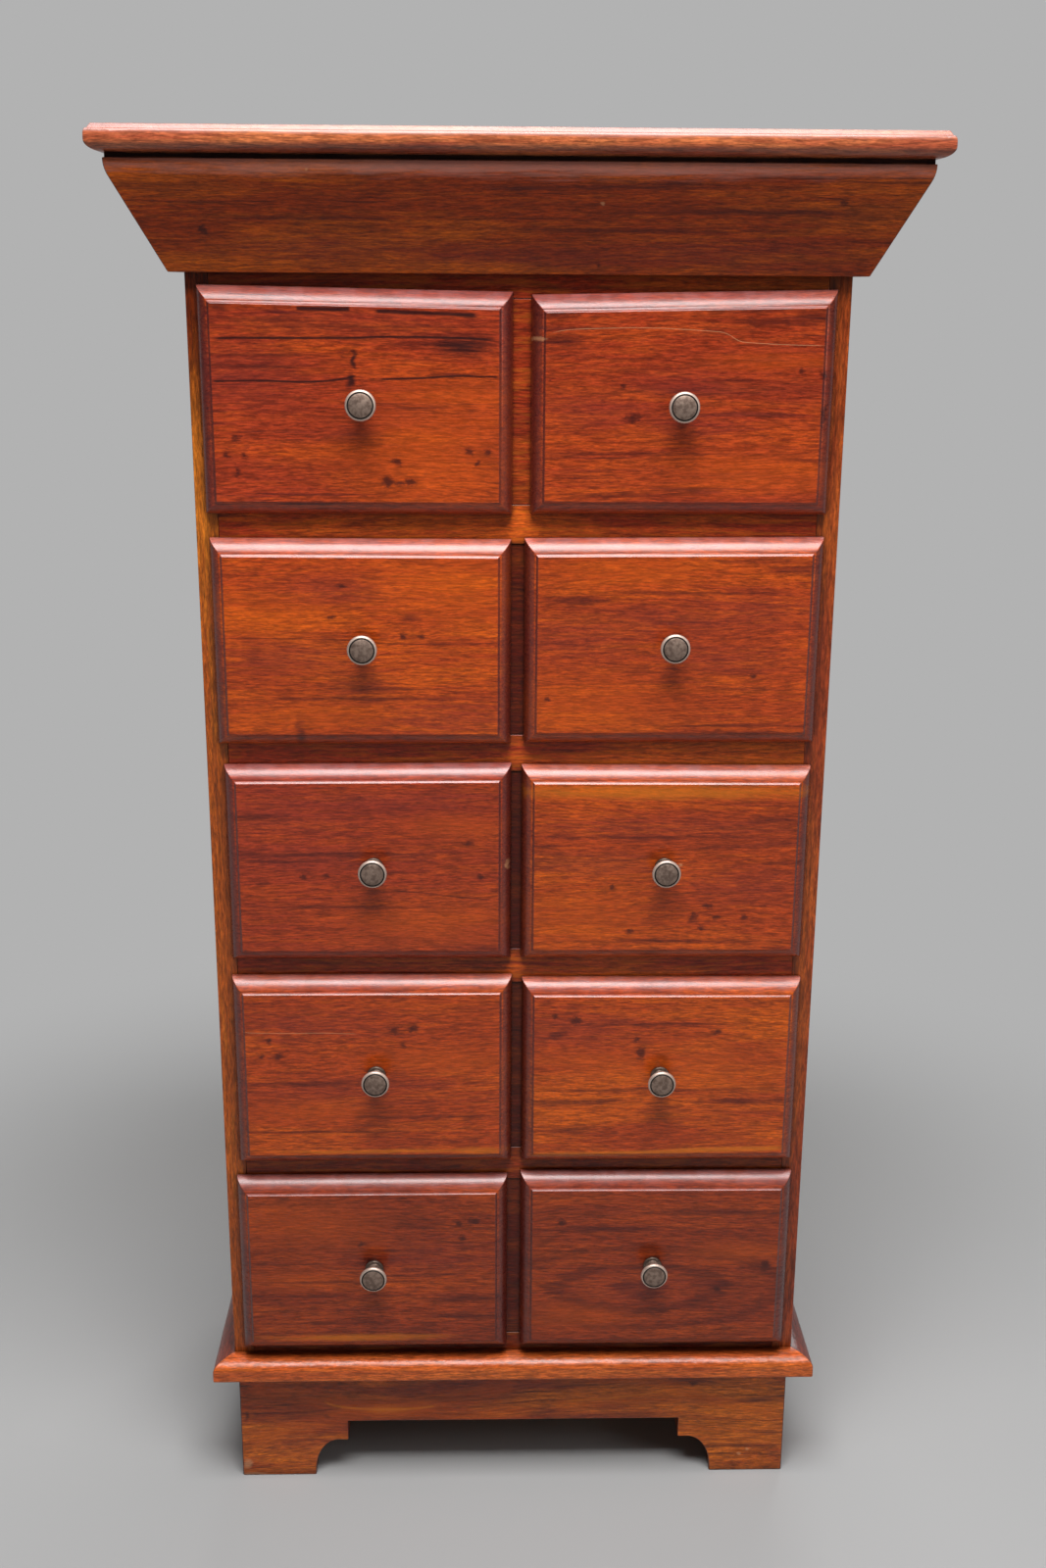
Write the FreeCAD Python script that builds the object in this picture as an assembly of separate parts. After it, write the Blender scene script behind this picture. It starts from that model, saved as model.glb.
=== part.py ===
import FreeCAD, Part
import math
import os
from collections import namedtuple

# Spice drawer cabinet: a narrow hardwood carcass on a bracket-foot plinth, with a flared cornice,
# a moulded top board and ten lipped drawers in two columns, each pulled by one small brass knob.
# Millimetres, +Z up, the fronts face -Y, +X is the right hand of someone facing the drawers.
# The origin is on the floor, under the middle of the top board.

V = FreeCAD.Vector

# ---- carcass -------------------------------------------------------------------------------
body_width = 432.0            # outside of one side panel to outside of the other
body_depth = 281.0            # front of the drawer frame to the back of the cabinet
side_thickness = 15.0
board_thickness = 15.0        # bottom board and sub-top
board_housing = 4.0           # depth of the grooves that hold the boards
back_thickness = 6.0
back_lap = 7.0                # how far the back panel laps over each side panel
partition_thickness = 18.0

# ---- drawer frame --------------------------------------------------------------------------
row_count = 5
opening_height = 133.0
rail_height = 26.25           # rails between two rows
bottom_rail_height = 32.5
rail_depth = 22.0
tenon_length = 7.0            # stub tenons at both ends of each rail
tenon_thickness = 8.0
tenon_shoulder = 4.0          # how much narrower a tenon is than its rail, above and below
tenon_end_gap = 0.5
stile_width = 20.0
stile_setback = 1.2           # lower stiles stand a little behind the rails

# ---- runners under the drawers -------------------------------------------------------------
runner_width = 12.0
runner_height = 10.0
runner_housing = 3.0          # depth of the groove that holds each runner

# ---- plinth --------------------------------------------------------------------------------
plinth_height = 97.0
plinth_thickness = 18.0
plinth_setback = 2.0
foot_width = 58.0
foot_straight = 4.0           # upright part of a foot's inner edge, below the cove
cove_width = 18.0
cove_height = 28.0
ledge_width = 8.0
cutout_height = 49.0
plinth_block = 20.0           # square glue blocks inside the corners
plinth_block_length = 70.0

# ---- base moulding -------------------------------------------------------------------------
moulding_height = 17.5
moulding_projection = 15.0
moulding_face = 8.5           # upright face under the rounded part
moulding_arris = 1.5          # small round at the lower corner

# ---- cornice -------------------------------------------------------------------------------
cornice_rise = 15.0           # rail that shows between the top row and the cornice
cornice_height = 66.5
cornice_foot = 9.0            # projection at the bottom
cornice_projection = 40.0     # projection at the top
cornice_lip = 6.0             # upright band along the top
cornice_bend = 22.0           # radius where the band turns into the slope
cornice_thickness = 16.0      # measured level, not square to the slope
cornice_block_length = 40.0
cornice_block_height = 24.0
cornice_block_margin = 70.25  # from the front or the back of a side to the middle of its block
shadow_gap = 3.0              # shadow line between the cornice and the top board
shadow_depth = 6.0            # how deep it is rebated into the cornice

# ---- top board -----------------------------------------------------------------------------
top_overhang = 49.0
top_thickness = 16.0
top_step = 3.0                # raised field above the moulded edge
top_step_inset = 2.0          # level ledge outside the raised field
top_step_width = 2.0          # slope from the ledge up to the raised field
top_arris_width = 1.5         # flat round along the upper corner of the edge
top_arris_height = 4.3
top_under_width = 10.0        # wide soft round along the lower corner
top_under_height = 6.5

# ---- drawers -------------------------------------------------------------------------------
lip_side = 5.5                # how far a front laps over the frame, left and right
lip_rise = 5.75               # the same above and below
lip_square = 3.0              # square edge behind the rounded part
front_rise = 9.0              # how far the rounded part stands out from the square edge
front_edge_width = 7.8        # width of the rounded part at the sides and below
front_top_width = 10.2        # the same above, where it is broader
front_slant = 18.0            # degrees between the round and the field where they meet
front_step = 1.4              # height of the raised field above the rounded part
front_step_width = 1.2        # slope of that step
block_depth = 8.0             # part of the front that stands inside the opening
closed_gap = 0.2              # behind the lip when the drawer is shut
drawer_side_gap = 1.0
drawer_top_gap = 1.8
runner_gap = 0.3              # under the drawer sides
box_back_gap = 13.2           # room between a drawer and the back panel
box_thickness = 10.0
back_drop = 8.0               # the drawer back is lower than the sides
bottom_thickness = 4.0
bottom_groove = 4.0           # depth of the groove for the bottom
bottom_rise = 7.0             # from the lower edge of a side to the bottom panel
bottom_play = 0.4             # room for the bottom in its grooves

# ---- knob, measured out from the face of the drawer ------------------------------------------
flange_radius = 6.9
flange_thickness = 2.2
neck_radius = 4.6
neck_length = 6.8
head_radius = 10.1
head_flare = 4.6              # rising underside of the head
head_rim = 3.4                # rounded edge of the head
groove_radius = 8.2           # ring turned in the face
groove_width = 0.8
groove_depth = 0.5
face_dome = 1.4               # height of the domed disc inside the ring
screw_radius = 2.0
screw_clearance = 0.1
screw_bite = 9.0              # length of screw inside the knob
screw_head_radius = 4.0
screw_head_height = 2.4

# Each front was planed to its place by hand, so no two match. A fit says how far the front is
# shifted right and up, how much wider and taller it is, how much its top edge rises from left to
# right, and how far the knob stands right of the middle. Rows run from the top, left then right.
Fit = namedtuple("Fit", "right up wider taller rise knob")
hand_fit = [
    (Fit(-1.0, 0.0, 2.0, 0.5, -3.4, 3.7), Fit(1.4, -0.3, -3.2, -1.3, 4.4, -1.1)),
    (Fit(-0.5, -0.7, 0.0, -2.4, -0.5, 1.1), Fit(-0.6, 0.5, 0.2, -2.2, 1.4, 0.0)),
    (Fit(1.5, 0.6, -2.2, 0.2, 1.0, 3.2), Fit(-1.3, 0.2, 0.7, -1.0, -0.6, -0.5)),
    (Fit(1.5, 0.0, -0.2, 3.2, 0.0, 2.4), Fit(-0.1, -1.4, 0.7, 1.2, -0.6, -0.3)),
    (Fit(-1.3, -0.6, 0.0, 0.7, 0.3, 0.9), Fit(0.4, 0.5, 2.0, 3.0, -0.8, -1.9)),
]

# ---- levels and planes that follow from the sizes above --------------------------------------
half_width = body_width / 2
inner_half = half_width - side_thickness
front_y = -(body_depth + top_overhang) / 2 + top_overhang     # front of the drawer frame
back_y = front_y + body_depth                                 # back of the cabinet
frame_back_y = front_y + rail_depth
panel_front_y = back_y - back_thickness                       # front of the back panel
first_opening = plinth_height + bottom_rail_height
row_pitch = opening_height + rail_height
openings_top = first_opening + (row_count - 1) * row_pitch + opening_height
cornice_bottom = openings_top + cornice_rise
cornice_top = cornice_bottom + cornice_height
cornice_band = cornice_top - cornice_lip                      # lower edge of the upright band
cornice_slope = (cornice_projection - cornice_foot) / (cornice_height - cornice_lip)
cornice_inner = cornice_projection - cornice_thickness        # back of the upright band
carcass_top = cornice_top + shadow_gap
opening_width = inner_half - stile_width / 2
opening_middle = stile_width / 2 + opening_width / 2
lip_thickness = lip_square + front_rise + front_step
box_width = opening_width - 2 * drawer_side_gap
box_inner = box_width / 2 - box_thickness                     # half the width inside a box
box_height = opening_height - runner_gap - drawer_top_gap
box_rear_y = panel_front_y - box_back_gap
lip_back_y = front_y - closed_gap
face_y = lip_back_y - lip_thickness                           # face of the drawer fronts
block_back_y = lip_back_y + block_depth                       # inner face of the drawer fronts
bottom_board_top = plinth_height + board_thickness
columns = (("left", -1), ("right", 1))


def opening_bottom(row):
    """Height of the lower edge of an opening; row 1 is at the top."""
    return first_opening + (row_count - row) * row_pitch


def block(x, y, z):
    """Rectangular solid between pairs of limits."""
    corner = V(min(x), min(y), min(z))
    return Part.makeBox(max(x) - min(x), max(y) - min(y), max(z) - min(z), corner)


def outline(place, steps):
    """Closed face from points (u, v), ending at the first. A point given as (u, v, cu, cv) is
    reached by an arc about the centre (cu, cv). place turns (u, v) into a point in space."""
    edges = []
    here = steps[0][:2]
    for step in steps[1:] + steps[:1]:
        start = place(*here)
        end = place(*step[:2])
        if len(step) == 4:
            edges.append(curve(start, end, place(*step[2:])))
        else:
            edges.append(Part.makeLine(start, end))
        here = step[:2]
    return Part.Face(Part.Wire(edges))


def curve(start, end, centre):
    """Arc about the centre, or a quarter ellipse where the two points lie at unequal distances,
    square to each other."""
    a = start - centre
    b = end - centre
    if abs(a.Length - b.Length) < 1e-6:
        middle = centre + (a + b).normalize() * a.Length
        return Part.Arc(start, middle, end).toShape()
    major, minor = (start, end) if a.Length > b.Length else (end, start)
    return Part.ArcOfEllipse(Part.Ellipse(major, minor, centre), 0, math.pi / 2).toShape()


def footprint(points, low, high):
    """Upright prism on a floor outline."""
    corners = [V(x, y, low) for x, y in points]
    face = Part.Face(Part.makePolygon(corners + corners[:1]))
    return face.extrude(V(0, 0, high - low))


def mirrored(shape):
    """The same piece for the other side of the cabinet."""
    return shape.mirror(V(0, 0, 0), V(1, 0, 0))


def export(name, *solids):
    """Write one node: a single solid, or a group of separate ones."""
    shape = solids[0] if len(solids) == 1 else Part.makeCompound(solids)
    shape.exportStep("parts/" + name + ".step")


# ---- carcass -------------------------------------------------------------------------------
def rail_levels():
    """Lower and upper edge of each rail, from the bottom rail to the tall top rail."""
    levels = [(plinth_height, first_opening)]
    for row in range(row_count, 1, -1):
        low = opening_bottom(row) + opening_height
        levels.append((low, low + rail_height))
    levels.append((openings_top, carcass_top))
    return levels


def rail(low, high):
    """Rail across the front, with a stub tenon at each end."""
    body = block((-inner_half, inner_half), (front_y, frame_back_y), (low, high))
    return body.fuse(tenons(low, high, tenon_length - tenon_end_gap))


def tenons(low, high, length):
    """Both tenons of a rail in one bar, or the bar that cuts their mortises."""
    middle = front_y + rail_depth / 2
    reach = inner_half + length
    return block((-reach, reach), (middle - tenon_thickness / 2, middle + tenon_thickness / 2),
                 (low + tenon_shoulder, high - tenon_shoulder))


def runner_slot(row, side, depth, against):
    """Runner beside an upright face at x = against; side says which way it stands out."""
    top = opening_bottom(row)
    return block((against - side * depth, against + side * runner_width),
                 (frame_back_y, panel_front_y), (top - runner_height, top))


def runners():
    """Two runners under each drawer: one on the side panel, one on the partition."""
    strips = []
    for row in range(1, row_count + 1):
        strips.append(runner_slot(row, -1, runner_housing, inner_half))
        strips.append(runner_slot(row, 1, runner_housing, partition_thickness / 2))
    return strips + [mirrored(strip) for strip in strips]


def cross_board(top, half):
    """Level board behind the front frame."""
    return block((-half, half), (frame_back_y, panel_front_y), (top - board_thickness, top))


def side_panel():
    """Right side panel with its mortises, grooves and the rebate for the back."""
    panel = block((inner_half, half_width), (front_y, back_y), (plinth_height, carcass_top))
    reach = inner_half + board_housing
    cuts = [cross_board(bottom_board_top, reach), cross_board(carcass_top, reach)]
    cuts += [tenons(low, high, tenon_length) for low, high in rail_levels()]
    cuts += [runner_slot(row, -1, runner_housing, inner_half) for row in range(1, row_count + 1)]
    cuts.append(block((inner_half, inner_half + back_lap), (panel_front_y, back_y),
                      (plinth_height, carcass_top)))
    return panel.cut(cuts)


def partition_blank():
    """Upright board behind the stiles, housed in the bottom board and the sub-top."""
    half = partition_thickness / 2
    return block((-half, half), (frame_back_y, panel_front_y),
                 (bottom_board_top - board_housing, carcass_top - board_thickness + board_housing))


def partition():
    """The upright board with grooves for the runners on both faces."""
    slots = []
    for row in range(1, row_count + 1):
        slot = runner_slot(row, 1, runner_housing, partition_thickness / 2)
        slots += [slot, mirrored(slot)]
    return partition_blank().cut(slots)


def stile(row):
    """Short upright between two rails; the top one is flush, the others stand back."""
    setback = 0 if row == 1 else stile_setback
    low = opening_bottom(row)
    return block((-stile_width / 2, stile_width / 2), (front_y + setback, frame_back_y),
                 (low, low + opening_height))


def make_carcass():
    right = side_panel()
    export("side_panel_right", right)
    export("side_panel_left", mirrored(right))
    export("centre_partition", partition())
    export("face_frame", *[rail(low, high) for low, high in rail_levels()],
           *[stile(row) for row in range(1, row_count + 1)])
    export("drawer_runners", *runners())
    reach = inner_half + board_housing
    export("bottom_board", cross_board(bottom_board_top, reach).cut(partition_blank()))
    export("sub_top", cross_board(carcass_top, reach).cut(partition_blank()))
    export("back_panel", block((-inner_half - back_lap, inner_half + back_lap),
                               (panel_front_y, back_y), (plinth_height, carcass_top)))


# ---- plinth --------------------------------------------------------------------------------
def bracket_edge(far):
    """Shaped lower edge between two feet, u running from the first foot's outer face to far."""
    ledge_height = foot_straight + cove_height
    cove = foot_width + cove_width
    tooth = cove + ledge_width
    near = [(foot_width, 0), (foot_width, foot_straight),
            (cove, ledge_height, cove, foot_straight), (tooth, ledge_height), (tooth, cutout_height)]
    away = [(far - tooth, cutout_height), (far - tooth, ledge_height), (far - cove, ledge_height),
            (far - foot_width, foot_straight, far - cove, foot_straight), (far - foot_width, 0)]
    return near + away


def bracket_board(place, length, through):
    """Plinth board with a foot at each end, extruded by the vector through."""
    steps = [(0, 0)] + bracket_edge(length) + [(length, 0), (length, plinth_height),
                                               (0, plinth_height)]
    return outline(place, steps).extrude(through)


def make_plinth():
    outer_x = half_width - plinth_setback
    inner_x = outer_x - plinth_thickness
    outer_y = front_y + plinth_setback
    inner_y = outer_y + plinth_thickness
    front = bracket_board(lambda u, v: V(u - outer_x, outer_y, v), 2 * outer_x,
                          V(0, plinth_thickness, 0))
    mitre = [(-outer_x, outer_y), (outer_x, outer_y), (inner_x, inner_y), (-inner_x, inner_y)]
    export("plinth_front", front.common(footprint(mitre, 0, plinth_height)))
    side = bracket_board(lambda u, v: V(inner_x, outer_y + u, v), back_y - outer_y,
                         V(plinth_thickness, 0, 0))
    mitre = [(outer_x, outer_y), (outer_x, back_y), (inner_x, back_y), (inner_x, inner_y)]
    side = side.common(footprint(mitre, 0, plinth_height))
    export("plinth_right", side)
    export("plinth_left", mirrored(side))
    export("plinth_back", block((-inner_x, inner_x), (back_y - plinth_thickness, back_y),
                                (cutout_height, plinth_height)))
    return inner_x, inner_y


def plinth_blocks(inner_x, inner_y):
    """Square glue blocks in the corners of the plinth, clear of the floor."""
    low = plinth_height - plinth_block_length
    rear = back_y - plinth_thickness
    front = block((inner_x - plinth_block, inner_x), (inner_y, inner_y + plinth_block),
                  (low, plinth_height))
    back = block((inner_x - plinth_block, inner_x), (rear - plinth_block, rear),
                 (low, plinth_height))
    return [front, back, mirrored(front), mirrored(back)]


# ---- mitred mouldings ------------------------------------------------------------------------
def mitred(profile, low, high, reach):
    """Front and right-hand lengths of one moulding. The profile's u runs out from the carcass and
    its v is height; the two lengths meet on the diagonal of the front corner."""
    front = outline(lambda u, v: V(-half_width - reach, front_y - u, v), profile)
    front = front.extrude(V(2 * (half_width + reach), 0, 0))
    corners = [(-half_width, front_y), (half_width, front_y),
               (half_width + reach, front_y - reach), (-half_width - reach, front_y - reach)]
    front = front.common(footprint(corners, low, high))
    side = outline(lambda u, v: V(half_width + u, front_y - reach, v), profile)
    side = side.extrude(V(0, body_depth + reach, 0))
    corners = [(half_width, front_y), (half_width + reach, front_y - reach),
               (half_width + reach, back_y), (half_width, back_y)]
    return front, side.common(footprint(corners, low, high))


def make_base_moulding():
    """Quarter-round moulding planted round the foot of the carcass."""
    out = moulding_projection
    low = plinth_height
    step = low + moulding_face
    high = low + moulding_height
    profile = [(0, low), (out - moulding_arris, low),
               (out, low + moulding_arris, out - moulding_arris, low + moulding_arris),
               (out, step), (0, high, 0, step)]
    front, side = mitred(profile, low, high, 2 * out)
    export("base_moulding_front", front)
    export("base_moulding_right", side)
    export("base_moulding_left", mirrored(side))


def cornice_profile():
    """Leaning board: level foot, sloping face, rounded bend, an upright band, and a rebate along
    the top that leaves a shadow line under the top board."""
    lean = math.atan(cornice_slope)
    tangent = cornice_bend * math.tan(lean / 2)
    bend_end = cornice_band + tangent
    seat = cornice_bottom + (cornice_thickness - cornice_foot) / cornice_slope
    return [(0, cornice_bottom), (cornice_foot, cornice_bottom),
            (cornice_projection - tangent * math.sin(lean), cornice_band - tangent * math.cos(lean)),
            (cornice_projection, bend_end, cornice_projection - cornice_bend, bend_end),
            (cornice_projection, cornice_top), (cornice_projection - shadow_depth, cornice_top),
            (cornice_projection - shadow_depth, carcass_top), (cornice_inner, carcass_top),
            (cornice_inner, cornice_band), (0, seat)]


def make_cornice():
    """Three lengths of flared cornice, mitred at the front corners."""
    reach = 2 * cornice_projection
    front, side = mitred(cornice_profile(), cornice_bottom, carcass_top, reach)
    export("cornice_front", front)
    export("cornice_right", side)
    export("cornice_left", mirrored(side))


def cornice_blocks():
    """Glue blocks in the hollow between the carcass and the leaning boards."""
    low = cornice_top - cornice_block_height
    at_low = cornice_inner - cornice_slope * (cornice_band - low)
    profile = [(0, low), (at_low, low), (cornice_inner, cornice_band),
               (cornice_inner, cornice_top), (0, cornice_top)]
    half = cornice_block_length / 2
    blocks = []
    for x in (-inner_half / 2, 0, inner_half / 2):
        face = outline(lambda u, v: V(x - half, front_y - u, v), profile)
        blocks.append(face.extrude(V(2 * half, 0, 0)))
    for y in (front_y + cornice_block_margin, back_y - cornice_block_margin):
        face = outline(lambda u, v: V(half_width + u, y - half, v), profile)
        side = face.extrude(V(0, 2 * half, 0))
        blocks += [side, mirrored(side)]
    return blocks


# ---- moulded boards --------------------------------------------------------------------------
def edge_prism(profile, corner, along, inward, out, length):
    """Half of a board that has this moulded edge: the profile's u runs inward from the edge and
    its v runs out from the board's plain side. It reaches one length to each side of the corner."""
    begin = corner - along * length
    face = outline(lambda u, v: begin + inward * u + out * v, profile)
    return face.extrude(along * (2 * length))


def make_top_board():
    """Top board: flat round above, wide soft round below, and a raised field that slopes up from
    a ledge along the front and the two sides. The back edge is square."""
    far = body_width + body_depth
    ledge = top_thickness - top_step
    arris = ledge - top_arris_height
    profile = [(top_under_width, 0, top_under_width, top_under_height), (far, 0),
               (far, top_thickness), (top_step_inset + top_step_width, top_thickness),
               (top_step_inset, ledge), (top_arris_width, ledge),
               (0, arris, top_arris_width, arris), (0, top_under_height)]
    half = half_width + top_overhang
    front = front_y - top_overhang
    up = V(0, 0, 1)
    board = edge_prism(profile, V(-half, front, carcass_top), V(1, 0, 0), V(0, 1, 0), up, far)
    for side in (-1, 1):
        corner = V(side * half, front, carcass_top)
        board = board.common(edge_prism(profile, corner, V(0, 1, 0), V(-side, 0, 0), up, far))
    board = board.common(block((-half, half), (front, back_y),
                               (carcass_top, carcass_top + top_thickness)))
    export("top_board", board)


# ---- drawers -------------------------------------------------------------------------------
def fit_of(row, side):
    """The hand fitting of one front."""
    return hand_fit[(row - 1) % len(hand_fit)][columns.index(side)]


def front_limits(row, side):
    """Left and right x, lower z, and upper z at the left and at the right of one front."""
    fit = fit_of(row, side)
    middle = side[1] * opening_middle + fit.right
    half = opening_width / 2 + lip_side + fit.wider / 2
    centre = opening_bottom(row) + opening_height / 2 + fit.up
    tall = opening_height / 2 + lip_rise + fit.taller / 2
    return (middle - half, middle + half, centre - tall,
            centre + tall - fit.rise / 2, centre + tall + fit.rise / 2)


def rounded_edge(width):
    """Profile of a front at one edge: square edge, a round that ends at a slant, and a small step
    up to the flat field."""
    far = opening_width + opening_height
    high = lip_square + front_rise
    slant = math.radians(front_slant)
    lean = math.atan2(front_rise, width)
    radius = math.hypot(width, front_rise) / (2 * math.sin(lean - slant))
    return [(0, 0), (far, 0), (far, lip_thickness), (width + front_step_width, lip_thickness),
            (width, high),
            (0, lip_square, width + radius * math.sin(slant), high - radius * math.cos(slant))]


def lipped_board(left, right, low, high_left, high_right):
    """Moulded board in front of the frame, with its rounded edge all round."""
    far = opening_width + opening_height
    out = V(0, -1, 0)
    slope = V(right - left, 0, high_right - high_left).normalize()
    edges = [(front_edge_width, V(left, lip_back_y, low), V(1, 0, 0), V(0, 0, 1)),
             (front_edge_width, V(left, lip_back_y, low), V(0, 0, 1), V(1, 0, 0)),
             (front_edge_width, V(right, lip_back_y, low), V(0, 0, 1), V(-1, 0, 0)),
             (front_top_width, V(left, lip_back_y, high_left), slope,
              V(slope.z, 0, -slope.x))]
    prisms = [edge_prism(rounded_edge(width), corner, along, inward, out, far)
              for width, corner, along, inward in edges]
    board = prisms[0]
    for prism in prisms[1:]:
        board = board.common(prism)
    return board


def drawer_bottom(row, middle, play):
    """Thin panel in the grooves of the sides and the front, running under the back. With no play
    it is the block that cuts those grooves."""
    half = box_inner + bottom_groove - play
    low = opening_bottom(row) + runner_gap + bottom_rise
    return block((middle - half, middle + half), (block_back_y - bottom_groove + play, box_rear_y),
                 (low, low + bottom_thickness))


def drawer_box(row, middle):
    """Two grooved sides, lapped over the ends of the front's block, and the back between them."""
    low = opening_bottom(row) + runner_gap
    high = low + box_height
    outer = box_width / 2
    grooves = drawer_bottom(row, middle, 0)
    sides = [block((middle + end * box_inner, middle + end * outer), (lip_back_y, box_rear_y),
                   (low, high)).cut(grooves) for end in (-1, 1)]
    back = block((middle - box_inner, middle + box_inner), (box_rear_y - box_thickness, box_rear_y),
                 (low + bottom_rise + bottom_thickness, high - back_drop))
    return sides + [back]


def along_y(radius, x, z, start, end):
    """Round bar along Y between two planes."""
    return Part.makeCylinder(radius, abs(end - start), V(x, min(start, end), z), V(0, 1, 0))


def drawer_front(row, side, knob_x, knob_z):
    """Lipped front with the block behind it that fills the opening between the box sides."""
    middle = side[1] * opening_middle
    low = opening_bottom(row) + runner_gap
    back = block((middle - box_inner, middle + box_inner), (lip_back_y, block_back_y),
                 (low, low + box_height))
    board = lipped_board(*front_limits(row, side)).fuse(back)
    hole = along_y(screw_radius + screw_clearance, knob_x, knob_z, face_y, block_back_y)
    return board.cut([drawer_bottom(row, middle, 0), hole]).removeSplitter()


def knob(x, z):
    """Turned knob: base flange, straight neck, head that flares out to a rounded rim, a ring
    turned in the face and a domed disc inside it. The screw's bore is blind."""
    bead = flange_thickness / 2
    neck_top = flange_thickness + neck_length
    under = neck_top + head_flare
    half_rim = head_rim / 2
    rim = head_radius - half_rim
    face = under + head_rim
    ring_in = groove_radius - groove_width / 2
    dome_radius = (ring_in ** 2 + face_dome ** 2) / (2 * face_dome)
    bore = screw_radius + screw_clearance
    bore_end = screw_bite + screw_clearance
    profile = [(bore, 0), (flange_radius, 0), (flange_radius, bead),
               (flange_radius - bead, flange_thickness, flange_radius - bead, bead),
               (neck_radius, flange_thickness), (neck_radius, neck_top),
               (rim, under, rim, neck_top), (head_radius, under + half_rim, rim, under + half_rim),
               (rim, face, rim, under + half_rim), (groove_radius + groove_width / 2, face),
               (groove_radius, face - groove_depth), (ring_in, face),
               (0, face + face_dome, 0, face + face_dome - dome_radius), (0, bore_end),
               (bore, bore_end)]
    section = outline(lambda u, v: V(x + u, face_y - v, z), profile)
    return section.revolve(V(x, face_y, z), V(0, 1, 0), 360)


def knob_screw(x, z):
    """Machine screw through the front, with its head inside the drawer."""
    shank = along_y(screw_radius, x, z, face_y - screw_bite, block_back_y)
    head = along_y(screw_head_radius, x, z, block_back_y, block_back_y + screw_head_height)
    return shank.fuse(head).removeSplitter()


def make_drawer(row, side):
    name = "drawer_r%d_%s_" % (row, side[0])
    middle = side[1] * opening_middle
    left, right, low, high_left, high_right = front_limits(row, side)
    knob_x = (left + right) / 2 + fit_of(row, side).knob
    knob_z = (2 * low + high_left + high_right) / 4
    export(name + "front", drawer_front(row, side, knob_x, knob_z))
    export(name + "box", *drawer_box(row, middle))
    export(name + "bottom", drawer_bottom(row, middle, bottom_play))
    export(name + "knob", knob(knob_x, knob_z), knob_screw(knob_x, knob_z))


os.makedirs("parts", exist_ok=True)
make_carcass()
blocks = plinth_blocks(*make_plinth())
make_base_moulding()
make_cornice()
export("glue_blocks", *blocks, *cornice_blocks())
make_top_board()
for row in range(1, row_count + 1):
    for side in columns:
        make_drawer(row, side)
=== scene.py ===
import bmesh
import bpy
import math
from mathutils import Matrix, Vector


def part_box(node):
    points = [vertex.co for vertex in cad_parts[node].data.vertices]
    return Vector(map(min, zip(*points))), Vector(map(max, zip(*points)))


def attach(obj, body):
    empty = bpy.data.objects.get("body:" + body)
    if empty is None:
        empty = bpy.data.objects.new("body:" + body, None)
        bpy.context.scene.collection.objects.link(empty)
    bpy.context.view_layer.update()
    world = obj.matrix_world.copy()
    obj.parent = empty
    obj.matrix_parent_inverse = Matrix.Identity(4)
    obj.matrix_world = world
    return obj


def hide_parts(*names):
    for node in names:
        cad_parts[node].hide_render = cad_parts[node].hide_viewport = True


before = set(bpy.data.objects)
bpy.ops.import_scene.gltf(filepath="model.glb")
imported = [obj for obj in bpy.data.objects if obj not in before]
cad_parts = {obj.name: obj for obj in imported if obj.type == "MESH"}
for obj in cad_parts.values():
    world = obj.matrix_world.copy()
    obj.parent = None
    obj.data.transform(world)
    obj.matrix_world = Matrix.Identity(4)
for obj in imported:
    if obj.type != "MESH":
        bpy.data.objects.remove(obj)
bpy.context.view_layer.update()


# ---- side panels -----------------------------------------------------------------------------
# Two solid hardwood sides, jointed up from boards with the grain running up. Only their front
# edges show beside the drawers. They took the stain less deeply than the rest, so they are more
# golden, and every arris was eased with sandpaper before the polish went on.

def tone(red, green, blue):
    """Linear colour from the 0 to 255 numbers of a colour chart."""
    def linear(value):
        share = value / 255
        return share / 12.92 if share <= 0.04045 else ((share + 0.055) / 1.055) ** 2.4
    return (linear(red), linear(green), linear(blue), 1.0)


def feed(tree, sockets, values):
    """Give sockets, by name or number, their values, or join outputs to them."""
    for name, value in values.items():
        if isinstance(value, bpy.types.NodeSocket):
            tree.links.new(value, sockets[name])
        else:
            sockets[name].default_value = value


def put(tree, kind, inputs=None, **settings):
    """Add a node with its settings, and feed its inputs."""
    node = tree.nodes.new(kind)
    for name, value in settings.items():
        setattr(node, name, value)
    feed(tree, node.inputs, inputs or {})
    return node


def sums(tree, operation, first, second=0.0, third=0.0, clamp=False):
    """One step of arithmetic on numbers."""
    return put(tree, "ShaderNodeMath", {0: first, 1: second, 2: third},
               operation=operation, use_clamp=clamp).outputs[0]


def times(tree, product, *factors):
    """Numbers multiplied together."""
    for factor in factors:
        product = sums(tree, "MULTIPLY", product, factor)
    return product


def less(tree, first, second):
    """First number less the second."""
    return sums(tree, "SUBTRACT", first, second)


def swing(tree, noise, reach, base=0.0, clamp=False):
    """A base that goes up and down as a noise leaves its middle of a half."""
    return sums(tree, "MULTIPLY_ADD", less(tree, noise, 0.5), reach, base, clamp)


def between(tree, value, low, high, at_low=0.0, at_high=1.0):
    """Smooth change from at_low to at_high as value goes from low to high."""
    return put(tree, "ShaderNodeMapRange",
               {"Value": value, "From Min": low, "From Max": high,
                "To Min": at_low, "To Max": at_high}, interpolation_type="SMOOTHSTEP").outputs[0]


def vectors(tree, operation, first, second=(0.0, 0.0, 0.0)):
    """One step of arithmetic on vectors."""
    return put(tree, "ShaderNodeVectorMath", {0: first, 1: second}, operation=operation).outputs[0]


def scaled(tree, vector, size):
    """A vector times a number."""
    return put(tree, "ShaderNodeVectorMath", {0: vector, 3: size}, operation="SCALE").outputs[0]


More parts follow.
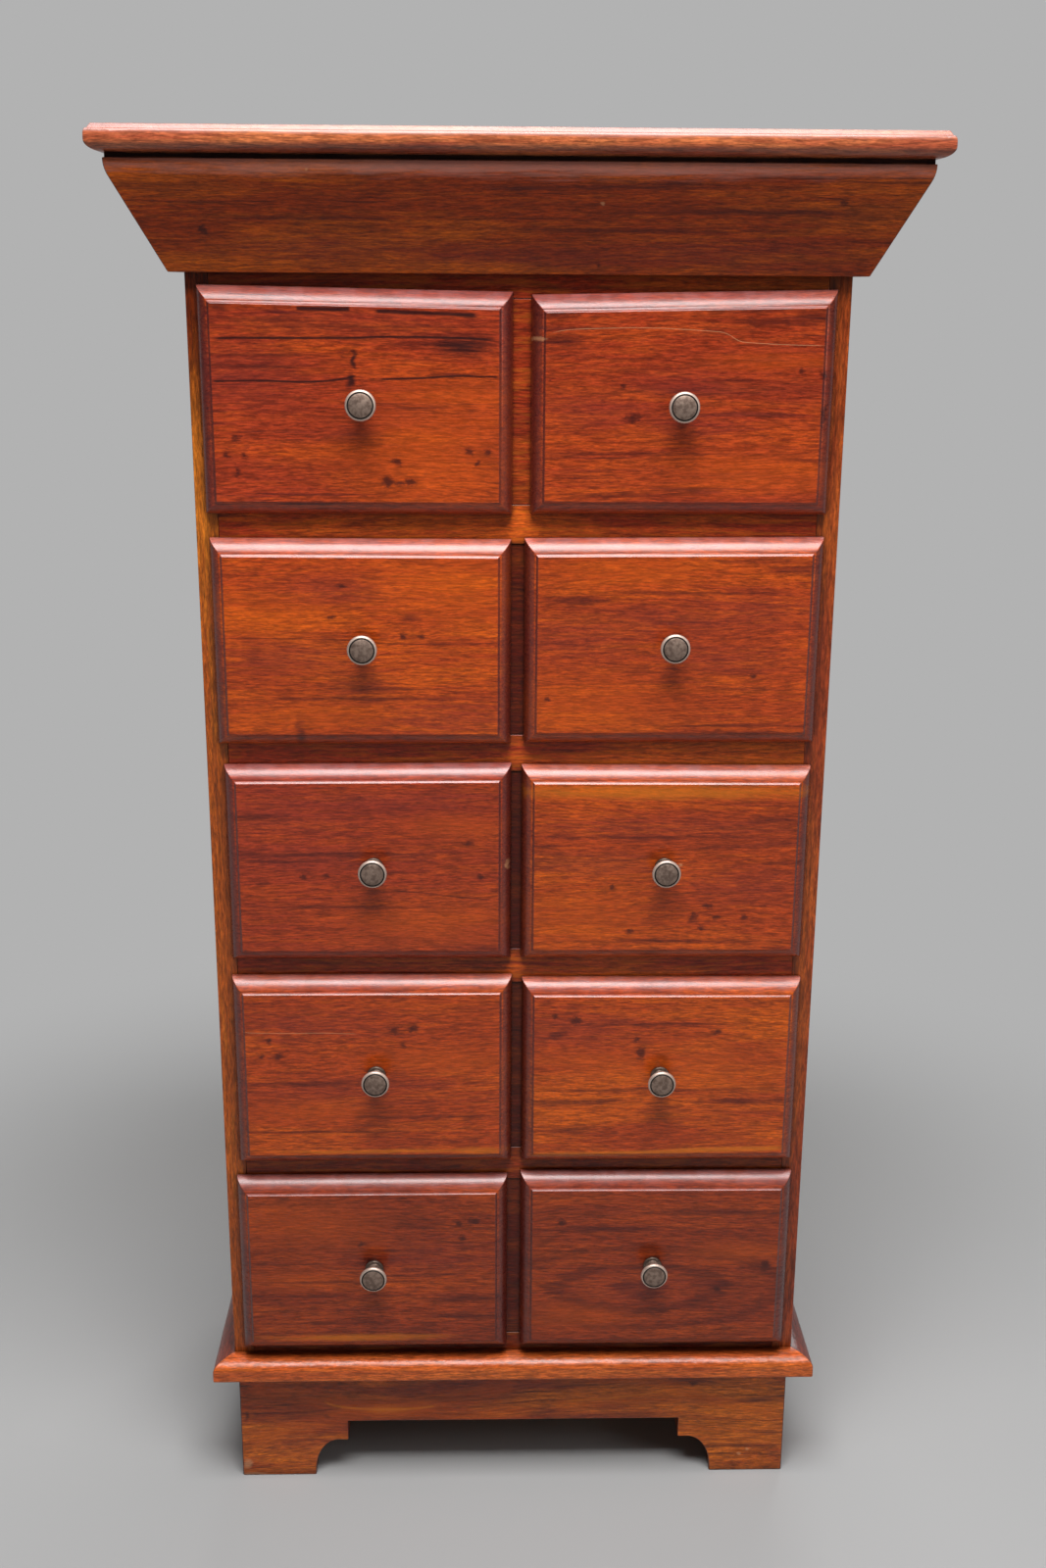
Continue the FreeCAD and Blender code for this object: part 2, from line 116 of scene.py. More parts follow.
def length_of(tree, vector):
    """How long a vector is."""
    return put(tree, "ShaderNodeVectorMath", {0: vector}, operation="LENGTH").outputs["Value"]


def parts_of(tree, vector):
    """The X, Y and Z of a vector."""
    return put(tree, "ShaderNodeSeparateXYZ", {0: vector}).outputs


def vector_of(tree, x=0.0, y=0.0, z=0.0):
    """A vector from its X, Y and Z."""
    return put(tree, "ShaderNodeCombineXYZ", {0: x, 1: y, 2: z}).outputs[0]


def own_place(tree):
    """Place of a point on the cabinet, in metres."""
    return put(tree, "ShaderNodeTexCoord").outputs["Object"]


def cloud(tree, place, stretch, detail=2.0, rough=0.5, colour=False):
    """Noise whose grain is 1 / stretch metres along each axis."""
    node = put(tree, "ShaderNodeTexNoise",
               {"Vector": vectors(tree, "MULTIPLY", place, stretch), "Scale": 1.0,
                "Detail": detail, "Roughness": rough})
    return node.outputs[1 if colour else 0]


def drift(tree, place, stretch, detail, rough):
    """Noise along all three axes, with its middle at nought."""
    noise = cloud(tree, place, stretch, detail, rough, colour=True)
    return vectors(tree, "SUBTRACT", noise, (0.5, 0.5, 0.5))


def blend(tree, share, first, second, mode="MIX"):
    """Two colours mixed by share."""
    return put(tree, "ShaderNodeMix", {0: share, 6: first, 7: second},
               data_type="RGBA", blend_type=mode).outputs[2]


def start_tree(name, kind, inputs, outputs):
    """Empty node group with its sockets: (name, type, value or None) in and (name, type) out."""
    tree = bpy.data.node_groups.new(name, kind)
    for label, socket_type, value in inputs:
        socket = tree.interface.new_socket(label, in_out="INPUT",
                                           socket_type="NodeSocket" + socket_type)
        if value is not None:
            socket.default_value = value
    for label, socket_type in outputs:
        tree.interface.new_socket(label, in_out="OUTPUT", socket_type="NodeSocket" + socket_type)
    return tree, tree.nodes.new("NodeGroupInput").outputs, tree.nodes.new("NodeGroupOutput").inputs


def make_board_axes():
    """Turns an object's coordinates into a board's own: X along its grain, Y and Z across."""
    tree, given, result = start_tree(
        "board_axes", "ShaderNodeTree",
        [("Along Y", "Float", 0.0), ("Along Z", "Float", 0.0), ("Seed", "Float", 0.0)],
        [("Place", "Vector"), ("End grain", "Float"), ("Rounded", "Float"), ("Rise", "Float")])
    source = put(tree, "ShaderNodeTexCoord").outputs

    def pick(share, first, second):
        return put(tree, "ShaderNodeMix", {0: share, 4: first, 5: second},
                   data_type="VECTOR").outputs[1]

    def turned(vector):
        x, y, z = parts_of(tree, vector)
        level = pick(given["Along Y"], vector_of(tree, x, z, y), vector_of(tree, y, z, x))
        return pick(given["Along Z"], level, vector_of(tree, z, x, y))

    spread = scaled(tree, (3.17, 1.73, 2.39), given["Seed"])
    ends, faces, edges = parts_of(tree, vectors(tree, "ABSOLUTE", turned(source["Normal"])))
    square = sums(tree, "MAXIMUM", sums(tree, "MAXIMUM", ends, faces), edges)
    feed(tree, result, {"Place": vectors(tree, "ADD", turned(source["Object"]), spread),
                        "End grain": between(tree, ends, 0.1, 0.75),
                        "Rounded": between(tree, square, 0.995, 0.93),
                        "Rise": parts_of(tree, source["Normal"])[2]})
    return tree


def make_hardwood():
    """Figure of a red tropical hardwood: golden zones, streaks, flecks, dark veins, open pores."""
    tree, given, result = start_tree(
        "hardwood_figure", "ShaderNodeTree",
        [("Place", "Vector", (0, 0, 0)), ("Pale", "Color", tone(190, 92, 30)),
         ("Body", "Color", tone(150, 52, 24)), ("Deep", "Color", tone(70, 24, 18)),
         ("Golden", "Float", 0.5), ("Veins", "Float", 0.5), ("Pores", "Float", 0.5),
         ("Wander", "Float", 1.0)],
        [("Colour", "Color"), ("Roughness", "Float"), ("Height", "Float"), ("Streaks", "Float")])
    place = given["Place"]
    waver = vectors(tree, "MULTIPLY", drift(tree, place, (2.6, 9, 9), 2, 0.5),
                    (0.0, 0.022, 0.022))
    grain = vectors(tree, "ADD", place, scaled(tree, waver, given["Wander"]))

    def drawn(along, across, detail, rough=0.6):
        """Noise drawn out along the grain."""
        return cloud(tree, grain, (along, across, across), detail, rough)

    zones = drawn(4.5, 22, 3)
    bands = drawn(7, 110, 3)
    streaks = drawn(26, 360, 4, 0.65)
    flecks = drawn(85, 720, 3, 0.65)
    golden = times(tree, between(tree, zones, 0.40, 0.62), given["Golden"])
    golden = swing(tree, bands, 1.3, golden)
    golden = swing(tree, streaks, 1.7, golden, clamp=True)
    colour = blend(tree, golden, given["Body"], given["Pale"])
    dusk = between(tree, drawn(5, 60, 4), 0.52, 0.72)
    colour = blend(tree, times(tree, dusk, given["Veins"], 0.55), colour, given["Deep"])
    veins = between(tree, drawn(7, 260, 4), 0.57, 0.65)
    gate = between(tree, drawn(6, 24, 1, 0.5), 0.42, 0.56)
    colour = blend(tree, times(tree, veins, gate, given["Veins"], 0.9), colour, given["Deep"])
    pores = times(tree, between(tree, drawn(170, 1000, 2), 0.56, 0.68), given["Pores"])
    colour = blend(tree, times(tree, pores, 0.75), colour, given["Deep"])
    shade = between(tree, flecks, 0.34, 0.66, 0.62, 1.36)
    fine = between(tree, drawn(260, 1700, 2), 0.34, 0.66, 0.78, 1.22)
    ribbon = between(tree, cloud(tree, place, (32, 9, 9), 1), 0.3, 0.7, 0.93, 1.07)
    gain = times(tree, shade, fine, ribbon)
    colour = blend(tree, 1.0, colour, vector_of(tree, gain, gain, gain), "MULTIPLY")
    relief = sums(tree, "MULTIPLY_ADD", pores, -0.4, times(tree, flecks, 0.3))
    feed(tree, result, {"Colour": colour, "Height": relief, "Streaks": streaks,
                        "Roughness": between(tree, streaks, 0.3, 0.7, -0.06, 0.06)})
    return tree


def make_wear_and_painted_light():
    """Where an arris stands proud and polish is rubbed thin, where dirt and painted shade darken a
    quirk, where painted shade darkens the wood beside another piece, and where dust and a painted
    sheen lie on what faces up."""
    tree, given, result = start_tree(
        "wear_and_painted_light", "ShaderNodeTree",
        [("Place", "Vector", (0, 0, 0)), ("Reach", "Float", 0.001), ("Rise", "Float", 0.0)],
        [("Rubbed", "Float"), ("Dirt and shade", "Float"), ("Shade near pieces", "Float"), ("Dust and sheen", "Float")])

    def openness(reach, own_piece_only):
        return put(tree, "ShaderNodeAmbientOcclusion", {"Distance": reach}, samples=4,
                   only_local=own_piece_only).outputs["AO"]

    plain = put(tree, "ShaderNodeNewGeometry").outputs["Normal"]
    rounded = put(tree, "ShaderNodeBevel", {"Radius": given["Reach"]}, samples=4).outputs[0]
    turn = put(tree, "ShaderNodeVectorMath", {0: plain, 1: rounded}, operation="DOT_PRODUCT")
    bent = between(tree, turn.outputs["Value"], 0.985, 0.80)
    # Dirt and painted shade: darker where the piece's own shape closes in, in quirks and steps.
    dirt_and_shade = between(tree, openness(0.005, own_piece_only=True), 0.92, 0.55)
    patches = between(tree, cloud(tree, given["Place"], (70, 70, 70), 3), 0.42, 0.62)
    # Dust and a painted sheen: paler on what faces up.
    up_facing_dust_and_sheen = times(tree, between(tree, given["Rise"], 0.20, 0.90),
                    between(tree, patches, 0.0, 1.0, 0.6, 1.0))
    # Painted shade: darker where another piece comes close, as under the cornice and round the
    # drawer lips.
    painted_shade_near_pieces = between(tree, openness(0.012, own_piece_only=False), 0.95, 0.30)
    feed(tree, result, {"Rubbed": times(tree, bent, patches, less(tree, 1.0, dirt_and_shade)),
                        "Dirt and shade": dirt_and_shade, "Shade near pieces": painted_shade_near_pieces, "Dust and sheen": up_facing_dust_and_sheen})
    return tree


board_axes = make_board_axes()
hardwood_figure = make_hardwood()
wear_and_painted_light = make_wear_and_painted_light()


def start_material(name):
    """New material: its tree and its main shader."""
    material = bpy.data.materials.new(name)
    material.use_nodes = True
    tree = material.node_tree
    return material, tree, tree.nodes["Principled BSDF"]


def placed(tree, group, inputs):
    """A shared group put in a material."""
    return put(tree, "ShaderNodeGroup", node_tree=group, inputs=inputs).outputs


def bumped(tree, height, strength, distance):
    """Normal of a surface with shallow relief."""
    return put(tree, "ShaderNodeBump", {"Strength": strength, "Distance": distance,
                                        "Height": height}).outputs[0]


worn_arris = 0.0011


def board(tree, along, seed, wood):
    """Axes, figure, and wear with painted shade and sheen, of a board whose grain runs along an
    axis.
    """
    axes = placed(tree, board_axes, {"Along Y": float(along == "Y"),
                                     "Along Z": float(along == "Z"), "Seed": seed})
    place = axes["Place"]
    figure = placed(tree, hardwood_figure, {"Place": place, **wood})
    wear_and_painted_light_masks = placed(tree, wear_and_painted_light, {"Place": place, "Reach": worn_arris,
                                        "Rise": axes["Rise"]})
    return axes, figure, wear_and_painted_light_masks


polish_roughness = 0.30
dirt_dulls = 0.25
thin_wax = 0.05
held_share = 0.14
end_grain_stain = tone(72, 30, 30)
held_stain = tone(84, 24, 26)
# Dark brown for dirt and painted shade in quirks and beside other pieces.
quirk_dirt_and_shade = tone(24, 10, 8)
rubbed_wood = tone(206, 124, 72)
# Pale pink for dust and a painted sheen on up-facing parts.
dust_and_sheen_tint = tone(204, 150, 152)


def polished(name, along, seed, pale=(190, 80, 10), body=(152, 50, 20), deep=(80, 26, 20),
             golden=0.5, veins=0.5, wander=1.0, end=0.75, moulded=0.9, shine=0.38,
             dust_and_sheen=0.30, gleam=0.27, marks=None, boards=None):
    """French-polished hardwood. along is the grain's axis, moulded is how much more stain and
    wax rounded parts hold, gleam is how widely the wax spreads the light, marks adds a piece's
    own blemishes, and boards gives each board of a jointed piece a seed of its own."""
    material, tree, shader = start_material(name)
    axes, figure, wear_and_painted_light_masks = board(tree, along, boards(tree, seed) if boards else seed,
                               {"Pale": tone(*pale), "Body": tone(*body), "Deep": tone(*deep),
                                "Golden": golden, "Veins": veins, "Wander": wander})
    colour = blend(tree, times(tree, axes["End grain"], end), figure["Colour"], end_grain_stain)
    if marks:
        colour = marks(tree, colour, figure["Streaks"])
    held = times(tree, axes["Rounded"], moulded)
    colour = blend(tree, times(tree, held, held_share), colour, held_stain)
    # Up-facing parts are painted paler, as dust and a painted sheen; quirks and parts beside other
    # pieces are painted darker, as dirt and painted shade.
    for sign, share, tint in (("Dust and sheen", dust_and_sheen, dust_and_sheen_tint), ("Dirt and shade", 0.8, quirk_dirt_and_shade),
                              ("Shade near pieces", 0.8, quirk_dirt_and_shade), ("Rubbed", 0.40, rubbed_wood)):
        colour = blend(tree, times(tree, wear_and_painted_light_masks[sign], share), colour, tint)
    gloss = sums(tree, "ADD", figure["Roughness"], polish_roughness)
    # Less coat where dirt and painted shade lie.
    clear_of_dirt_and_shade = less(tree, 1.0, sums(tree, "MAXIMUM", wear_and_painted_light_masks["Dirt and shade"], wear_and_painted_light_masks["Shade near pieces"]))
    waxed = times(tree, held, between(tree, figure["Streaks"], 0.36, 0.60, 0.18, 0.36))
    feed(tree, shader.inputs, {
        "Base Color": colour,
        "Roughness": sums(tree, "MULTIPLY_ADD", wear_and_painted_light_masks["Dirt and shade"], dirt_dulls, gloss),
        "Specular IOR Level": shine,
        "Coat Weight": times(tree, sums(tree, "ADD", waxed, thin_wax), clear_of_dirt_and_shade),
        "Coat Roughness": gleam,
        "Normal": bumped(tree, figure["Height"], 0.25, 0.0004)})
    return material


def shown(name, mesh, body, slot, *replaced):
    """Puts a finished mesh in the scene as one piece that rides on its body."""
    piece = bpy.data.objects.new(name, mesh)
    bpy.context.scene.collection.objects.link(piece)
    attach(piece, body)
    if replaced:
        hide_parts(*replaced)
    return piece


def eased(node, body, slot, material, arris=0.0006):
    """Welded copy of a node, shown in its place: the arrises are rounded, or sharp where it is 0."""
    mesh = bpy.data.meshes.new(node + "_eased")
    work = bmesh.new()
    work.from_mesh(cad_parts[node].data)
    bmesh.ops.remove_doubles(work, verts=work.verts, dist=1e-6)
    bmesh.ops.dissolve_limit(work, angle_limit=math.radians(0.5), verts=work.verts,
                             edges=work.edges)
    for face in work.faces:
        face.smooth = arris > 0
        face.material_index = 0
    work.to_mesh(mesh)
    work.free()
    mesh.materials.append(material)
    piece = shown(node + "_finished", mesh, body, slot, node)
    if not arris:
        return
    rounding = piece.modifiers.new("eased_arrises", "BEVEL")
    rounding.width = arris
    rounding.segments = 2
    rounding.limit_method = "ANGLE"
    rounding.angle_limit = math.radians(32)
    rounding.use_clamp_overlap = False
    weighting = piece.modifiers.new("flat_faces_stay_flat", "WEIGHTED_NORMAL")
    weighting.keep_sharp = True


board_seed_step = 0.731


def jointed(width, axis):
    """Boards edge to edge: each strip of that width along the axis has a seed of its own."""
    def seeds(tree, seed):
        along = parts_of(tree, own_place(tree))[axis]
        strip = sums(tree, "FLOOR", sums(tree, "DIVIDE", along, width))
        return sums(tree, "MULTIPLY_ADD", strip, board_seed_step, seed)
    return seeds


# Tint of the painted shade on the left side's front edge, under the cornice.
top_shade_tint = tone(150, 62, 50)
shade_from, shade_to = 0.80, 0.89


def painted_shade_above(tree, colour, streaks):
    """Painted shade: the left side's front edge is darker and redder beside the top row, under the
    cornice.
    """
    height = swing(tree, streaks, 0.12, parts_of(tree, own_place(tree))["Z"])
    return blend(tree, between(tree, height, shade_from, shade_to, 0.0, 0.85), colour,
                 top_shade_tint, "MULTIPLY")


side_board = 0.094
side_colours = {"left": dict(pale=(206, 118, 30), body=(168, 78, 20), deep=(92, 40, 16)),
                "right": dict(pale=(176, 84, 26), body=(138, 54, 22), deep=(78, 30, 18))}
for number, (hand, colours) in enumerate(side_colours.items()):
    eased("side_panel_" + hand, "cabinet", "side_wood",
          polished("side_hardwood_" + hand, "Z", 15.0 + number, golden=0.6, veins=0.6,
                   end=0.4, moulded=0.0, marks=painted_shade_above if hand == "left" else None,
                   boards=jointed(side_board, "Y"), **colours))


# ---- inner boards and runners ----------------------------------------------------------------
# Bottom board, sub-top, partition, runners and glue blocks are the same wood, sawn and planed
# but never stained or polished, so they are dull, pale brown and dusty.

raw_pale, raw_body, raw_deep = tone(190, 146, 104), tone(160, 114, 78), tone(104, 68, 46)
# Brown painted into quirks: dirt, and painted shade.
quirk_dust_and_shade_brown = tone(60, 44, 34)


def raw(name, along, seed, wander=1.0):
    """Unfinished wood. along is the grain's axis."""
    material, tree, shader = start_material(name)
    axes, figure, wear_and_painted_light_masks = board(tree, along, seed,
                               {"Pale": raw_pale, "Body": raw_body, "Deep": raw_deep,
                                "Golden": 0.8, "Veins": 0.35, "Pores": 0.7, "Wander": wander})
    colour = blend(tree, times(tree, axes["End grain"], 0.4), figure["Colour"], raw_deep)
    feed(tree, shader.inputs, {
        # Quirks are painted darker, as dirt and painted shade.
        "Base Color": blend(tree, times(tree, wear_and_painted_light_masks["Dirt and shade"], 0.5), colour, quirk_dust_and_shade_brown),
        "Roughness": sums(tree, "ADD", figure["Roughness"], 0.72),
        "Specular IOR Level": 0.3,
        "Normal": bumped(tree, figure["Height"], 0.5, 0.0005)})
    return material


inner_boards = {"bottom_board": "X", "sub_top": "X", "centre_partition": "Z",
                "drawer_runners": "Y", "glue_blocks": "X", "plinth_back": "X"}
for number, (node, along) in enumerate(inner_boards.items()):
    eased(node, "cabinet", "inner_wood", raw(node + "_raw_wood", along, 51.0 + number),
          arris=0.0004)


# ---- drawer frame ----------------------------------------------------------------------------
# Six rails tenoned into the sides and five short stiles between them. The frame is darker towards
# the bottom, the stiles between the openings carry painted shade, and gold streaks of the wood show
# on the rails.

row_pitch = 0.15925
lowest_opening = 0.1295
opening_share = 0.835
rail_fade = 0.02
stile_core, stile_edge = 0.012, 0.020
darkest_height, clear_height = 0.16, 0.50
top_row_from, top_row_to = 0.74, 0.80
# Darkening tint for the lower frame and for the painted shade on the stiles.
darkening_and_shade_film = tone(128, 92, 84)
rail_gold = tone(204, 104, 24)


def darker_low_and_shaded_stiles(tree, colour, streaks):
    """Darker towards the bottom of the frame, and painted shade on the stiles between the openings.
    """
    parts = parts_of(tree, own_place(tree))
    row = sums(tree, "FRACT", sums(tree, "DIVIDE", less(tree, parts["Z"], lowest_opening),
                                   row_pitch))
    off_centre = sums(tree, "ABSOLUTE", less(tree, row, opening_share / 2))
    low = between(tree, parts["Z"], clear_height, darkest_height, 0.0, 0.80)
    # Painted shade on the stiles, which sit back between the drawer fronts.
    stiles = times(tree,
                   between(tree, sums(tree, "ABSOLUTE", parts["X"]), stile_edge, stile_core),
                   between(tree, off_centre, opening_share / 2 + rail_fade,
                           opening_share / 2 - rail_fade, 0.0, 0.8),
                   between(tree, parts["Z"], top_row_to, top_row_from, 0.1, 1.0))
    colour = blend(tree, sums(tree, "MAXIMUM", low, stiles), colour, darkening_and_shade_film, "MULTIPLY")
    gold = times(tree, between(tree, streaks, 0.50, 0.62, 0.0, 0.35), less(tree, 1.0, stiles))
    return blend(tree, gold, colour, rail_gold)


eased("face_frame", "cabinet", "red_mahogany",
      polished("frame_hardwood", "X", 41.0, pale=(220, 102, 26), body=(174, 58, 26), golden=0.75,
               veins=0.6, end=0.0, moulded=0.0, shine=0.28, marks=darker_low_and_shaded_stiles,
               boards=jointed(row_pitch, "Z")))


# ---- back panel ------------------------------------------------------------------------------
# One sheet of thin plywood let into rebates in the sides, and pinned all round with small steel
# pins that were driven flush by hand, about three inches apart.

eased("back_panel", "cabinet", "back_ply", raw("back_ply_face", "Z", 61.0, wander=2.6),
      arris=0.0003)


def new_maker(name, inputs):
    """Empty geometry tree with named inputs, which a modifier can run."""
    tree, given, result = start_tree(name, "GeometryNodeTree", inputs, [("Geometry", "Geometry")])
    tree.is_modifier = True
    return tree, given, result


def finish_maker(tree, geometry, material, result):
    """Every maker ends in real geometry with its material on it."""
    real = put(tree, "GeometryNodeRealizeInstances", {"Geometry": geometry}).outputs[0]
    covered = put(tree, "GeometryNodeSetMaterial", {"Geometry": real, "Material": material})
    tree.links.new(covered.outputs[0], result[0])


def chain(name, *lines):
    """Open lines of points as a mesh of loose edges."""
    mesh = bpy.data.meshes.new(name)
    points = [point for line in lines for point in line]
    edges = []
    start = 0
    for line in lines:
        edges += [(start + n, start + n + 1) for n in range(len(line) - 1)]
        start += len(line)
    mesh.from_pydata(points, edges, [])
    return mesh


def made(name, tree, base, values):
    """Runs a maker on a base mesh, and gives back the result as a plain mesh."""
    bench = bpy.data.objects.new(name + "_bench", base)
    bpy.context.scene.collection.objects.link(bench)
    steps = bench.modifiers.new("maker", "NODES")
    steps.node_group = tree
    for socket in tree.interface.items_tree:
        if socket.in_out == "INPUT" and socket.name in values:
            steps[socket.identifier] = values[socket.name]
    view = bpy.context.evaluated_depsgraph_get()
    mesh = bpy.data.meshes.new_from_object(bench.evaluated_get(view), depsgraph=view,
                                           preserve_all_data_layers=True)
    bpy.data.objects.remove(bench)
    mesh.name = name
    return mesh


pin_head_depth = 0.0006


def make_pins():
    """Pins driven along lines: heads at even steps, each a little off its mark."""
    tree, given, result = new_maker(
        "pins_in_rows", [("Lines", "Geometry", None), ("Spacing", "Float", 0.08),
                         ("Head radius", "Float", 0.0015), ("Proud", "Float", 0.0001),
                         ("Facing", "Vector", (0, 0, 0)), ("Slip", "Float", 0.0012),
                         ("Steel", "Material", None)])
    rows = put(tree, "GeometryNodeMeshToCurve", {"Mesh": given["Lines"]}).outputs[0]
    rows = put(tree, "GeometryNodeResampleCurve", {"Curve": rows, "Length": given["Spacing"]},
               mode="LENGTH").outputs[0]
    slip = put(tree, "FunctionNodeRandomValue", {0: (-1, -1, -1), 1: (1, 1, 1), "Seed": 7},
               data_type="FLOAT_VECTOR").outputs[0]
    turn = put(tree, "FunctionNodeEulerToRotation", {0: given["Facing"]}).outputs[0]
    outward = put(tree, "FunctionNodeRotateVector", {0: (0, 0, 1), 1: turn}).outputs[0]
    across = vectors(tree, "SUBTRACT", (1, 1, 1), vectors(tree, "ABSOLUTE", outward))
    slip = scaled(tree, vectors(tree, "MULTIPLY", slip, across), given["Slip"])
    rows = put(tree, "GeometryNodeSetPosition", {"Geometry": rows, "Offset": slip}).outputs[0]
    head = put(tree, "GeometryNodeMeshCylinder", {"Vertices": 12, "Radius": given["Head radius"],
                                                  "Depth": pin_head_depth}).outputs[0]
    lift = vector_of(tree, z=less(tree, given["Proud"], pin_head_depth / 2))
    head = put(tree, "GeometryNodeTransform", {"Geometry": head, "Translation": lift}).outputs[0]
    pins = put(tree, "GeometryNodeInstanceOnPoints", {"Points": rows, "Instance": head,
                                                      "Rotation": turn}).outputs[0]
    finish_maker(tree, pins, given["Steel"], result)
    return tree


def steel(name):
    """Dull wire steel with specks of rust."""
    material, tree, shader = start_material(name)
    specks = cloud(tree, own_place(tree), (900, 900, 900), 3, 0.6)
    rust = between(tree, specks, 0.45, 0.62)
    feed(tree, shader.inputs, {
        "Base Color": blend(tree, rust, tone(120, 118, 114), tone(92, 58, 38)),
        "Metallic": sums(tree, "MULTIPLY_ADD", rust, -0.6, 0.9),
        "Roughness": sums(tree, "MULTIPLY_ADD", rust, 0.35, 0.42)})
    return material


pins_in_rows = make_pins()
pin_steel = steel("pin_steel")
pin_margin = 0.004
low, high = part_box("back_panel")
left, right = low[0] + pin_margin, high[0] - pin_margin
bottom, top = low[2] + pin_margin, high[2] - pin_margin
corners = [(x, high[1], z) for x, z in ((left, bottom), (right, bottom), (right, top),
                                        (left, top), (left, bottom))]
shown("back_panel_pins", made("back_panel_pins", pins_in_rows, chain("pin_lines", corners),
                              {"Spacing": 0.078, "Proud": 0.00002,
                               "Facing": (-math.pi / 2, 0, 0), "Steel": pin_steel}),
      "cabinet", "aged_brass")


# ---- plinth ----------------------------------------------------------------------------------
# Bracket-foot plinth: three mitred boards with feet and coves sawn in their lower edges. They are
# wild-grained, with a waist of pale streaks at the left of the front one, and knocks have taken
# the corners of the feet down to paler wood.

# Each kind of blemish has its tint, how strongly it covers, and how soft its edge is.
# The pale pink kind paints dust and a painted sheen.
mark_kinds = {"haze": (tone(100, 32, 38), 0.26, 0.98), "glow": (tone(214, 92, 4), 0.22, 0.98),
              "gold": (tone(214, 120, 20), 0.50, 0.8), "dust_and_sheen": (tone(196, 136, 122), 0.55, 0.7),
              "stain": (tone(58, 16, 16), 0.62, 0.85), "line": (tone(60, 16, 14), 0.60, 0.9),
              "char": (tone(36, 12, 14), 0.90, 0.75), "knot": (tone(52, 14, 12), 0.80, 0.7),
              "nick": (tone(214, 156, 112), 0.45, 0.5)}
millimetre = 0.001
thinnest_mark = 1.1


def marked(middle, marks, threads=(), heart=None):
    """A board's own blemishes, in millimetres right of and above its middle, with the half width
    and half height of each. threads are lines and bands, each of a kind and a half width, and
    heart is the eye of a cathedral figure."""
    def paint(tree, colour, streaks):
        place = own_place(tree)
        wobble = drift(tree, place, (45, 45, 170), 3, 0.6)
        straight = vectors(tree, "ADD", place, vectors(tree, "MULTIPLY", wobble, (0, 0, 0.001)))
        place = vectors(tree, "ADD", place, vectors(tree, "MULTIPLY", wobble, (0.008, 0, 0.003)))
        ragged = swing(tree, streaks, 2.4)
        crumbs = swing(tree, cloud(tree, place, (420, 420, 640), 2, 0.6), 2.2)

        def off_spot(right, up, wide, tall):
            """Distance from a spot's middle, which is 1 at its edge."""
            offset = vectors(tree, "SUBTRACT", place, (middle[0] + right * millimetre, 0,
                                                       middle[2] + up * millimetre))
            return length_of(tree, vectors(tree, "MULTIPLY", offset, (1 / (wide * millimetre), 0,
                                                                      1 / (tall * millimetre))))

        if heart:
            far = sums(tree, "MULTIPLY_ADD", ragged, 0.35, off_spot(*heart))
            wave = sums(tree, "SINE", times(tree, far, 6.6))
            rings = times(tree, between(tree, wave, -0.2, 0.9, 0.0, 0.5),
                          between(tree, far, 4.5, 1.0))
            colour = blend(tree, rings, colour, mark_kinds["line"][0])
        for kind, (tint, strength, soft) in mark_kinds.items():
            cover = None
            for right, up, wide, tall in marks.get(kind, ()):
                far = sums(tree, "ADD", off_spot(right, up, wide, max(tall, thinnest_mark)),
                           crumbs if kind == "knot" else ragged)
                one = between(tree, far, 1 + soft, 1 - soft)
                cover = sums(tree, "MAXIMUM", cover, one) if cover else one
            if cover:
                colour = blend(tree, times(tree, cover, strength), colour, tint)
        for kind, half, points in threads:
            tint, strength, soft = mark_kinds[kind]
            cover = thread(tree, vectors(tree, "SUBTRACT", straight, tuple(middle)), points, half)
            colour = blend(tree, times(tree, cover, strength), colour, tint)
        return colour
    return paint


def thread(tree, place, points, half):
    """Cover of a line or a band through points, in millimetres, from left to right."""
    parts = parts_of(tree, place)
    first, last = points[0][0], points[-1][0]
    low = min(up for right, up in points)
    rise = max(1, max(up for right, up in points) - low)
    along = sums(tree, "DIVIDE", less(tree, parts["X"], first * millimetre),
                 (last - first) * millimetre)
    node = put(tree, "ShaderNodeFloatCurve", {"Value": along})
    curve = node.mapping.curves[0]
    while len(curve.points) < len(points):
        curve.points.new(0.5, 0.5)
    for knot, (right, up) in zip(curve.points, points):
        knot.location = ((right - first) / (last - first), (up - low) / rise)
    node.mapping.update()
    level = sums(tree, "MULTIPLY_ADD", node.outputs[0], rise * millimetre, low * millimetre)
    gap = sums(tree, "ABSOLUTE", less(tree, parts["Z"], level))
    inside = between(tree, sums(tree, "ABSOLUTE", less(tree, along, 0.5)), 0.5, 0.44)
    return times(tree, between(tree, gap, half * millimetre, half * millimetre / 4), inside)


def middle_of(node):
    """Middle of a node's box."""
    low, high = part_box(node)
    return (Vector(low) + Vector(high)) / 2


